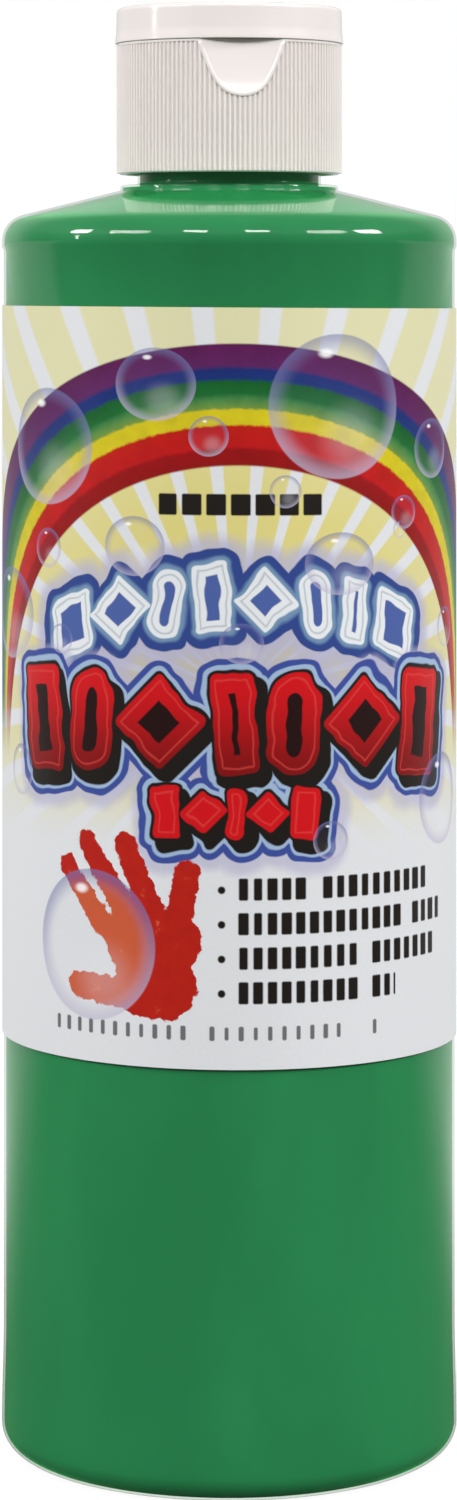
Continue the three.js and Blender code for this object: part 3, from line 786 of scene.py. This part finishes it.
# The bubbles, drawn last, so that they tint what lies under them.
BUBBLES = [
    (-9.9, 89.2, 5.7, 4.9),
    (14.8, 86.4, 9.9, 9.7),
    (-27.4, 80.7, 8.4, 7.9),
    (-2.7, 82.5, 2.7, 2.7),
    (7.4, 75.3, 2.2, 2.2),
    (-12.8, 68.0, 4.4, 4.0),
    (15.2, 65.8, 5.3, 4.2),
    (32.7, 80.6, 4.5, 4.1),
    (26.0, 72.3, 2.5, 2.3),
    (-27.4, 67.2, 2.7, 2.7),
    (25.1, 70.0, 1.2, 1.2),
    (-24.7, 55.3, 2.2, 2.0),
    (1.6, 55.5, 3.0, 2.7),
    (-34.3, 37.1, 3.2, 3.5),
    (35.5, 33.5, 6.2, 6.3),
    (37.2, 56.4, 2.8, 2.8),
    (13.7, 29.6, 2.6, 2.6),
    (-38.2, 57.9, 7.5, 6.3),
]
for u, v, half_width, half_height in BUBBLES:
    values = {"Under": art, "Place": flat, "Centre": (u, v, 0), "Half size": (half_width, half_height, 1)}
    art = add(tree, "ShaderNodeGroup", node_tree=bubble, named=values)
warm = add(tree, "ShaderNodeVectorMath", flat, (-19.2, 15.4, 0), operation="DISTANCE")
on_skin = add(tree, "ShaderNodeMath", dabbed, 0.0, operation="LESS_THAN")
warm = lay(tree, art, linear("#E07A3C"), warm, 8.6, 0.8, on_skin)
art = add(tree, "ShaderNodeMix", 0.45, art, warm, data_type="RGBA")
values = {"Under": art, "Place": flat, "Centre": (-19.2, 15.4, 0), "Half size": (9.6, 10.1, 1)}
art = add(tree, "ShaderNodeGroup", node_tree=bubble, named=values)

finish = {"Base Color": art, "Roughness": 0.36, "IOR": 1.47, "Specular IOR Level": 0.3}
film = add(tree, "ShaderNodeBsdfPrincipled", named=finish)
add(tree, "ShaderNodeOutputMaterial", film)
label.data.materials.append(printed)
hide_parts("label")
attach(label, "bottle")

# ---------------------------------------------------------------------------------------------------
# The liner: a thin foam disc with a hole for the nozzle. The cap presses it on the rim of the neck.
# ---------------------------------------------------------------------------------------------------

LINER_LOW, LINER_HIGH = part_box("closure_liner")
LINER_R = 12.4 * MM
LINER_HOLE_R = 3 * MM
ring = straight((LINER_HOLE_R, LINER_LOW.z), (LINER_R, LINER_LOW.z), 6)
ring += straight((LINER_R, LINER_HIGH.z), (LINER_HOLE_R, LINER_HIGH.z), 6)
liner = turned("foam_liner", ring, loop=True)

# Closed-cell polyethylene foam, sliced from a sheet: matt, with pores of about 0.3 mm.
foam, tree = new_material("polyethylene_foam_liner")
place = add(tree, "ShaderNodeTexCoord").outputs["Object"]
pores = add(tree, "ShaderNodeTexVoronoi", place, named={"Scale": 1 / (0.3 * MM)})
colour = add(tree, "ShaderNodeMix", pores, linear("#E6E3DC"), linear("#F6F4EF"), data_type="RGBA")
dents = add(tree, "ShaderNodeBump", named={"Strength": 0.4, "Distance": 0.1 * MM, "Height": pores.outputs[0]})
soft = add(
    tree, "ShaderNodeBsdfPrincipled", named={"Base Color": colour, "Roughness": 0.85, "Normal": dents}
)
add(tree, "ShaderNodeOutputMaterial", soft)
liner.data.materials.append(foam)
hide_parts("closure_liner")
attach(liner, "liner")

# ---------------------------------------------------------------------------------------------------
# The cap: white polypropylene, injection moulded in one shot with its lid and hinge. The skirt has a
# thread inside and fine grip ribs outside, and a slanting flat at the front makes room for a thumb.
# ---------------------------------------------------------------------------------------------------

CAP_TURN = math.radians(6.6)
CAP_FRONT = -math.pi / 2 + CAP_TURN
CAP_BACK = math.pi / 2 + CAP_TURN
SKIRT_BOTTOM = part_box("closure_base")[0].z
NOZZLE_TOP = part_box("closure_base")[1].z
LID_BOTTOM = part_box("closure_lid")[0].z - 0.06 * MM
LID_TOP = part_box("closure_lid")[1].z
RIB_COUNT = 144
CAP_STEPS = 144
RIB_CREST_R = 15.43 * MM
RIB_VALLEY_R = 15.15 * MM
RIB_TOP = 191.1 * MM
BORE_R = 13.85 * MM
DECK_UNDER = 190.3 * MM
DECK_TOP = 191.5 * MM
COLLAR_R = 13.4 * MM
COLLAR_INNER_R = 12.4 * MM
COLLAR_TOP = 192.6 * MM
NOZZLE_FOOT_R = 3.9 * MM
NOZZLE_TIP_R = 3.1 * MM
ORIFICE_R = 1.9 * MM
RECESS_TIP = 184.2 * MM
RECESS_TOP_DEPTH = 1.08 * MM
RECESS_STEP = 0.15 * MM
RECESS_STEP_RUN = 0.9 * MM
RECESS_LEAN = (RECESS_TOP_DEPTH - RECESS_STEP) / (LID_BOTTOM - RECESS_TIP)
RECESS_RIM = 0.42 * MM
RIM_PROUD = 0.09 * MM
RECESS_HALF = 7.2 * MM
PAD_HALF = 6.6 * MM
PAD_Y = 15.95 * MM
PAD_HEIGHT = 2.4 * MM
CAP_THREAD_REACH = 0.9 * MM


def around_from(angles, direction):
    """Each angle counted from a direction, between -pi and pi."""
    return (angles - direction + math.pi) % (2 * math.pi) - math.pi


def hinge_pad(r, angles):
    """Flattens and widens the back, where the hinge is moulded on."""
    turn = around_from(angles, CAP_BACK)
    flat = PAD_Y / np.cos(np.clip(turn, -1, 1))
    reach = np.abs(flat * np.sin(np.clip(turn, -1, 1)))
    return np.where((np.abs(turn) < 1) & (reach <= PAD_HALF * 1.001), flat, r)


def smooth(x):
    """Eases x in and out between 0 and 1."""
    x = np.clip(x, 0, 1)
    return x * x * (3 - 2 * x)


def recess_depth(z):
    """How deep the recess's flat floor lies under the rib crests, at its middle."""
    rise = np.maximum(z - RECESS_TIP, 0)
    return RECESS_LEAN * rise + RECESS_STEP * (1 - np.exp(-rise / RECESS_STEP_RUN))


def recess_edge(angles):
    """Height of the recess's edge on the skirt at each angle."""
    turn = around_from(angles, CAP_FRONT)
    sunk = RIB_CREST_R * (1 - np.cos(np.clip(turn, -1, 1)))
    heights = np.linspace(RECESS_TIP, RECESS_TIP + 10 * MM, 400)
    return np.where(np.abs(turn) < 1, np.interp(sunk, recess_depth(heights), heights), 1.0)


def beside_recess(z, angles):
    """Distance along the skirt from the recess's outline, at height z."""
    heights = RECESS_TIP + np.linspace(0, 1, 240) ** 2 * 8 * MM
    half = RIB_CREST_R * np.arccos(1 - recess_depth(heights) / RIB_CREST_R)
    reach = np.abs(around_from(angles, CAP_FRONT)) * RIB_CREST_R
    return np.hypot(reach[:, None] - half[None, :], z - heights[None, :]).min(axis=1)


def cap_shape(r, z, angles):
    """Cuts the recess with its raised rim, adds the hinge pad, and raises the thread in the bore."""
    if r[0] < BORE_R + 1e-6 and z < DECK_UNDER - 1e-6:
        top = NECK_THREAD_TOP - 1.7 * MM + 0.25 * PITCH
        ridge = thread_height(z, angles - 0.5 * math.pi, top, 1.25, 1.6 * MM, 0.6 * MM)
        return r - CAP_THREAD_REACH * ridge
    if r[0] < RIB_VALLEY_R - 1e-6 or z > DECK_TOP + 1e-6:
        return r
    turn = around_from(angles, CAP_FRONT)
    floor_r = (RIB_CREST_R - recess_depth(z)) / np.cos(np.clip(turn, -1, 1))
    within_recess = (np.abs(turn) < 1) & (floor_r < RIB_CREST_R) & (z > RECESS_TIP)
    off = beside_recess(z, angles)
    rim = 1 - smooth((off - RECESS_RIM) / (0.08 * MM))
    bead = RIM_PROUD * np.cos(np.clip(off / RECESS_RIM * 1.6 - 0.6, -1.57, 1.57))
    bead = bead * smooth((RIB_TOP + 0.1 * MM - z) / (0.4 * MM))
    raised = r + (RIB_CREST_R + bead - r) * rim
    into = smooth(off / (0.12 * MM))
    cut = np.where(within_recess, floor_r * into + raised * (1 - into), raised)
    if DECK_TOP - PAD_HEIGHT < z < DECK_TOP - 0.05 * MM:
        cut = np.maximum(cut, hinge_pad(cut, angles))
    return cut


recess_half = math.asin(RECESS_HALF / RIB_CREST_R)
pad_half = math.atan(PAD_HALF / PAD_Y)
pad_corners = (CAP_BACK + np.array([-1, 1])[:, None] * pad_half * np.array([0.995, 1.0, 1.004])).ravel()
evenly = np.linspace(0, 2 * math.pi, CAP_STEPS, endpoint=False)
over_recess = (CAP_FRONT + np.linspace(-recess_half, recess_half, 150)) % (2 * math.pi)
cap_angles = np.unique(np.concatenate([evenly, over_recess, pad_corners]).round(6))
skirt = [(BORE_R + 0.5 * MM, SKIRT_BOTTOM), (RIB_VALLEY_R - 0.2 * MM, SKIRT_BOTTOM)]
skirt += [(RIB_VALLEY_R, SKIRT_BOTTOM + 0.2 * MM)]
skirt += straight((RIB_VALLEY_R, RECESS_TIP - 10 * MM), (RIB_VALLEY_R, RECESS_TIP - 0.8 * MM), 5)[1:]
skirt += straight((RIB_VALLEY_R, RECESS_TIP - 0.74 * MM), (RIB_VALLEY_R, RECESS_TIP + 1.5 * MM), 40)
skirt += straight((RIB_VALLEY_R, RECESS_TIP + 1.6 * MM), (RIB_VALLEY_R, RIB_TOP), 48)
skirt += [(RIB_CREST_R - 0.05 * MM, RIB_TOP + 0.03 * MM), (RIB_CREST_R, RIB_TOP + 0.1 * MM)]
skirt += straight((RIB_CREST_R, RIB_TOP + 0.1 * MM), (RIB_CREST_R, DECK_TOP - 0.03 * MM), 3)
skirt += [(RIB_CREST_R - 0.03 * MM, DECK_TOP), (COLLAR_R, DECK_TOP), (COLLAR_R, COLLAR_TOP - 0.2 * MM)]
skirt += arc(COLLAR_R - 0.2 * MM, COLLAR_TOP - 0.2 * MM, 0.2 * MM, 0, math.pi / 2, 4)
skirt += [(COLLAR_INNER_R, COLLAR_TOP), (COLLAR_INNER_R, DECK_TOP)]
skirt += arc(NOZZLE_FOOT_R + 0.5 * MM, DECK_TOP + 0.5 * MM, 0.5 * MM, 1.5 * math.pi, math.pi, 5)
skirt += arc(NOZZLE_TIP_R - 0.3 * MM, NOZZLE_TOP - 0.3 * MM, 0.3 * MM, 0.1, math.pi / 2, 5)
skirt += [(ORIFICE_R + 0.2 * MM, NOZZLE_TOP), (ORIFICE_R, NOZZLE_TOP - 0.2 * MM), (ORIFICE_R, DECK_UNDER)]
skirt += [(BORE_R, DECK_UNDER)]
skirt += straight((BORE_R, DECK_UNDER - 0.1 * MM), (BORE_R, SKIRT_BOTTOM + 0.5 * MM), 60)
cap = turned("cap_shell", skirt, angles=cap_angles, reshape=cap_shape, loop=True)

# Polypropylene, injection moulded and filled with white pigment: half glossy and faintly warm, with
# the fine grain of a spark-eroded mould.
white_pp, tree = new_material("white_polypropylene_moulded")
place = add(tree, "ShaderNodeTexCoord").outputs["Object"]
cloud = add(tree, "ShaderNodeTexNoise", place, named={"Scale": 1 / (6 * MM), "Detail": 2.0})
grain = add(tree, "ShaderNodeTexNoise", place, named={"Scale": 1 / (0.15 * MM), "Detail": 2.0})
colour = add(tree, "ShaderNodeMix", cloud, linear("#E8E0DD"), linear("#ECE4E1"), data_type="RGBA")
rough = add(tree, "ShaderNodeMapRange", grain, 0.3, 0.7, 0.12, 0.18)
relief = add(tree, "ShaderNodeBump", named={"Strength": 0.08, "Distance": 0.05 * MM, "Height": grain})
finish = {"Base Color": colour, "Roughness": rough, "Normal": relief, "IOR": 1.49}
satin = add(tree, "ShaderNodeBsdfPrincipled", named=finish)
add(tree, "ShaderNodeOutputMaterial", satin)
cap.data.materials.append(white_pp)
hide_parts("closure_base")
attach(cap, "cap")

# The grip ribs, as many round the skirt as there are points in the ring that they stand on. Each runs
# up to the plain band, or stops at the rim of the thumb recess or under the hinge pad.
rib_angles = CAP_FRONT + 2 * math.pi * (np.arange(RIB_COUNT) + 0.5) / RIB_COUNT
rib_tops = np.minimum(RIB_TOP + 0.05 * MM, recess_edge(rib_angles) - RECESS_RIM * 0.9)
on_pad = np.abs(around_from(rib_angles, CAP_BACK)) < pad_half * 1.02
rib_tops = np.where(on_pad, DECK_TOP - PAD_HEIGHT, rib_tops)
ring_mesh = bpy.data.meshes.new("cap_ribs")
ring_mesh.from_pydata(
    [(RIB_VALLEY_R * math.cos(a), RIB_VALLEY_R * math.sin(a), SKIRT_BOTTOM + 0.15 * MM) for a in rib_angles],
    [],
    [],
)
rib_length = ring_mesh.attributes.new("rib_length", "FLOAT", "POINT")
rib_length.data.foreach_set("value", (rib_tops - SKIRT_BOTTOM - 0.15 * MM).astype(np.float32))
rib_turn = ring_mesh.attributes.new("rib_turn", "FLOAT", "POINT")
rib_turn.data.foreach_set("value", rib_angles.astype(np.float32))
ribs = placed("cap_ribs", ring_mesh)

rib_tree = bpy.data.node_groups.new("grip_ribs", "GeometryNodeTree")
for socket, kind, way in [
    ("Geometry", "NodeSocketGeometry", "INPUT"),
    ("Rib depth", "NodeSocketFloat", "INPUT"),
    ("Rib width", "NodeSocketFloat", "INPUT"),
    ("Material", "NodeSocketMaterial", "INPUT"),
    ("Geometry", "NodeSocketGeometry", "OUTPUT"),
]:
    rib_tree.interface.new_socket(socket, in_out=way, socket_type=kind)
given = add(rib_tree, "NodeGroupInput")
length = add(rib_tree, "GeometryNodeInputNamedAttribute", "rib_length", data_type="FLOAT")
turn = add(rib_tree, "GeometryNodeInputNamedAttribute", "rib_turn", data_type="FLOAT")
rod = add(
    rib_tree,
    "GeometryNodeMeshCylinder",
    named={"Vertices": 12, "Side Segments": 1, "Radius": 1.0, "Depth": 1.0},
)
lifted = add(rib_tree, "GeometryNodeTransform", named={"Geometry": rod, "Translation": (0, 0, 0.5)})
size = add(
    rib_tree,
    "ShaderNodeCombineXYZ",
    given.outputs["Rib depth"],
    add(rib_tree, "ShaderNodeMath", given.outputs["Rib width"], 0.5, operation="MULTIPLY"),
    length,
)
facing = add(rib_tree, "ShaderNodeCombineXYZ", 0.0, 0.0, turn)
stood = add(
    rib_tree,
    "GeometryNodeInstanceOnPoints",
    named={
        "Points": given.outputs["Geometry"],
        "Instance": lifted,
        "Rotation": add(rib_tree, "FunctionNodeEulerToRotation", facing),
        "Scale": size,
    },
)
real = add(rib_tree, "GeometryNodeRealizeInstances", stood)
coloured = add(
    rib_tree, "GeometryNodeSetMaterial", named={"Geometry": real, "Material": given.outputs["Material"]}
)
add(rib_tree, "NodeGroupOutput", coloured)


def grown(piece, tree, values):
    """Runs a Geometry Nodes tree on a piece with the named values, and keeps the result as its mesh."""
    modifier = piece.modifiers.new(tree.name, "NODES")
    modifier.node_group = tree
    sockets = {s.name: s.identifier for s in tree.interface.items_tree if s.in_out == "INPUT"}
    for key, value in values.items():
        modifier[sockets[key]] = value
    bpy.context.view_layer.update()
    evaluated = piece.evaluated_get(bpy.context.evaluated_depsgraph_get())
    mesh = bpy.data.meshes.new_from_object(evaluated)
    piece.modifiers.clear()
    piece.data = mesh
    return piece


grown(
    ribs,
    rib_tree,
    {"Rib depth": RIB_CREST_R - RIB_VALLEY_R, "Rib width": 0.42 * MM, "Material": white_pp},
)
ribs.data.shade_smooth()
ribs.data.set_sharp_from_angle(angle=math.radians(50))
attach(ribs, "cap")

# ---------------------------------------------------------------------------------------------------
# The lid: a shallow cup that flares to a thin lip, with a peg inside that plugs the nozzle. Its edge
# overhangs the recess, so that a thumb can flip it up.
# ---------------------------------------------------------------------------------------------------

LID_R = 15.43 * MM
LID_LIP_R = 15.65 * MM
LID_WALL = 1.2 * MM
LID_ROUND = 0.6 * MM
LID_ROOF = 195.2 * MM
PLUG_R = 1.55 * MM
PLUG_BOTTOM = 192.9 * MM


def lid_shape(r, z, angles):
    """Adds the hinge pad at the back of the lid."""
    if r[0] < LID_R - 0.3 * MM or not LID_BOTTOM + 0.05 * MM < z < LID_BOTTOM + PAD_HEIGHT:
        return r
    return np.maximum(r, hinge_pad(r, angles))


lid_angles = np.unique(np.concatenate([ROUND_ANGLES, pad_corners]).round(6))
cup = [(0, PLUG_BOTTOM)]
cup += arc(PLUG_R - 0.3 * MM, PLUG_BOTTOM + 0.3 * MM, 0.3 * MM, -math.pi / 2, 0, 5)
cup += arc(PLUG_R + 0.4 * MM, LID_ROOF - 0.4 * MM, 0.4 * MM, math.pi, math.pi / 2, 5)
cup += arc(LID_R - LID_WALL - 0.5 * MM, LID_ROOF - 0.5 * MM, 0.5 * MM, math.pi / 2, 0, 5)
cup += [(LID_LIP_R - LID_WALL, LID_BOTTOM + 0.1 * MM), (LID_LIP_R - LID_WALL + 0.1 * MM, LID_BOTTOM)]
cup += arc(LID_LIP_R - 0.12 * MM, LID_BOTTOM + 0.12 * MM, 0.12 * MM, -math.pi / 2, 0, 4)
side_top = (LID_R, LID_TOP - LID_ROUND)
cup += straight((LID_LIP_R, LID_BOTTOM + 0.13 * MM), (LID_R + 0.06 * MM, LID_BOTTOM + 1.5 * MM), 4)
cup += straight((LID_R + 0.06 * MM, LID_BOTTOM + 1.5 * MM), side_top, 10)
cup += arc(LID_R - LID_ROUND, LID_TOP - LID_ROUND, LID_ROUND, 0, math.pi / 2, 10)
cup += straight((LID_R - LID_ROUND, LID_TOP), (0, LID_TOP), 6)
lid = turned("flip_lid", cup, angles=lid_angles, reshape=lid_shape)
lid.data.materials.append(white_pp)
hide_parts("closure_lid")
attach(lid, "lid")

# ---------------------------------------------------------------------------------------------------
# The hinge: two thin webs of the same moulding, and between them a bowed strap. On the real cap the webs
# fold and the strap snaps the lid open or shut; here all three are fixed strips in their closed shape.
# ---------------------------------------------------------------------------------------------------

HINGE_Y = 16.05 * MM
HINGE_Z = 191.55 * MM
HINGE_SINK = 0.12 * MM
HINGE_PARTS = [
    ("hinge_web_left", "hinge_film_left", -4.55 * MM, 3.3 * MM, 1.3 * MM, 0.25 * MM, 0.25 * MM),
    ("hinge_web_right", "hinge_film_right", 4.55 * MM, 3.3 * MM, 1.3 * MM, 0.25 * MM, 0.25 * MM),
    ("hinge_strap", "hinge_spring_strap", 0.0, 3.8 * MM, 2.5 * MM, 0.95 * MM, 0.3 * MM),
]


def hinge_strip(name, middle_x, width, reach, bow, thick):
    """A strip down the back of the cap, bowed outwards in the middle and flush at its ends."""
    rows, columns = 24, 6
    vertices = []
    for out in (thick, 0.0):
        for i in range(rows + 1):
            t = 2 * i / rows - 1
            y = HINGE_Y - HINGE_SINK + bow * math.cos(t * math.pi / 2) ** 2 + out
            for j in range(columns + 1):
                x = middle_x + width * (j / columns - 0.5)
                vertices.append((x, y, HINGE_Z + t * reach))
    faces = [face[:1] + face[:0:-1] for face in sheet_faces(rows, columns)]
    c, s = math.cos(CAP_TURN), math.sin(CAP_TURN)
    vertices = [(x * c - y * s, x * s + y * c, z) for x, y, z in vertices]
    mesh = bpy.data.meshes.new(name)
    mesh.from_pydata(vertices, [], faces)
    return smoothed(name, mesh)


for name, cad_node, middle_x, width, reach, bow, thick in HINGE_PARTS:
    strip = hinge_strip(name, middle_x, width, reach, bow, thick)
    strip.data.materials.append(white_pp)
    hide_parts(cad_node)
    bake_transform(strip)

# ---------------------------------------------------------------------------------------------------
# The studio: a plain pale floor, a white room that is dimmer on the camera's side, and soft lights.
# ---------------------------------------------------------------------------------------------------

FLOOR_HALF = 4.0
floor_mesh = bpy.data.meshes.new("floor")
corners = [(-FLOOR_HALF, -FLOOR_HALF, 0), (FLOOR_HALF, -FLOOR_HALF, 0), (FLOOR_HALF, FLOOR_HALF, 0)]
floor_mesh.from_pydata(corners + [(-FLOOR_HALF, FLOOR_HALF, 0)], [], [(0, 1, 2, 3)])
floor = placed("floor", floor_mesh)
pale, tree = new_material("pale_floor")
grit = add(tree, "ShaderNodeTexNoise", add(tree, "ShaderNodeTexCoord").outputs["Object"], named={"Scale": 40.0})
ground = add(tree, "ShaderNodeSeparateXYZ", add(tree, "ShaderNodeTexCoord").outputs["Object"]).outputs
far_side = add(tree, "ShaderNodeMapRange", ground["Y"], 0.04, 0.2, 0.0, 0.6, interpolation_type="SMOOTHSTEP")
seen = add(tree, "ShaderNodeLightPath").outputs["Is Camera Ray"]
glow = add(tree, "ShaderNodeMath", seen, far_side, operation="MAXIMUM")
tone = add(tree, "ShaderNodeMix", grit, linear("#585858"), linear("#5C5C5C"), data_type="RGBA")
matt = add(tree, "ShaderNodeBsdfDiffuse", tone)
glow = add(tree, "ShaderNodeMath", glow, 0.92, operation="MULTIPLY")
lift = add(tree, "ShaderNodeEmission", linear("#FFFFFF"), glow)
add(tree, "ShaderNodeOutputMaterial", add(tree, "ShaderNodeAddShader", matt, lift))
floor.data.materials.append(pale)

world = bpy.data.worlds.new("white_room")
bpy.context.scene.world = world
world.use_nodes = True
tree = world.node_tree
tree.nodes.clear()
toward = add(tree, "ShaderNodeSeparateXYZ", add(tree, "ShaderNodeTexCoord").outputs["Generated"]).outputs
behind = add(tree, "ShaderNodeMapRange", toward["Y"], 0.4, 0.75, 0.14, 0.58, interpolation_type="SMOOTHSTEP")
above = add(tree, "ShaderNodeMapRange", toward["Z"], 0.1, 0.4, 0.0, 0.36, interpolation_type="SMOOTHSTEP")
side = add(tree, "ShaderNodeMath", behind, above, operation="MAXIMUM")
seen = add(tree, "ShaderNodeLightPath").outputs["Is Camera Ray"]
strength = add(tree, "ShaderNodeMath", side, seen, operation="MAXIMUM")
room = add(tree, "ShaderNodeBackground", linear("#FFFFFF"), strength)
add(tree, "ShaderNodeOutputWorld", room)


def area_light(name, place, aim, width, height, power):
    """A soft rectangular light at place, facing aim."""
    lamp = bpy.data.lights.new(name, "AREA")
    lamp.shape = "RECTANGLE"
    lamp.size, lamp.size_y, lamp.energy = width, height, power
    holder = placed(name, lamp)
    holder.location = place
    direction = Vector(aim) - Vector(place)
    holder.rotation_euler = direction.to_track_quat("-Z", "Y").to_euler()
    return holder


MIDDLE = (0, 0, 0.11)
LAMP_DISTANCE = 2.6
LAMPS = [
    ("soft_left_edge", -84, 25, 0.5, 0.5, 26.0),
    ("soft_left", -54, 26, 0.9, 0.5, 19.0),
    ("soft_front_left", -18, 30, 0.5, 0.4, 13.5),
    ("soft_front_right", 15, 30, 0.5, 0.4, 13.5),
    ("soft_right", 52, 26, 0.9, 0.5, 17.5),
    ("soft_right_edge", 78, 25, 0.6, 0.5, 33.0),
    ("glint_on_lid", -82, 8.3, 0.09, 0.36, 2.0),
    ("fill_behind_left", -148, 12, 0.9, 0.5, 15.0),
    ("fill_behind_right", 148, 12, 0.9, 0.5, 15.0),
]
for name, turn, rise, width, height, power in LAMPS:
    turn, rise = math.radians(turn), math.radians(rise)
    spot = (math.sin(turn) * math.cos(rise), -math.cos(turn) * math.cos(rise), math.sin(rise))
    place = tuple(LAMP_DISTANCE * c + m for c, m in zip(spot, MIDDLE))
    lamp = area_light(name, place, MIDDLE, width, height, power)
    lamp.visible_camera = False
    lamp.visible_glossy = not name.startswith("fill")

# The camera looks straight ahead along +Y, and its lens is shifted down to take in the whole bottle.
camera = bpy.data.cameras.new("camera")
camera.lens = 100.3
camera.sensor_width = 36
camera.shift_x = -0.0005
camera.shift_y = -0.3043
camera.clip_start = 0.01
viewer = placed("camera", camera)
viewer.location = (0, -0.573, 0.1574)
viewer.rotation_euler = (math.pi / 2, 0, 0)
bpy.context.scene.camera = viewer
bpy.context.scene.view_settings.view_transform = "Standard"
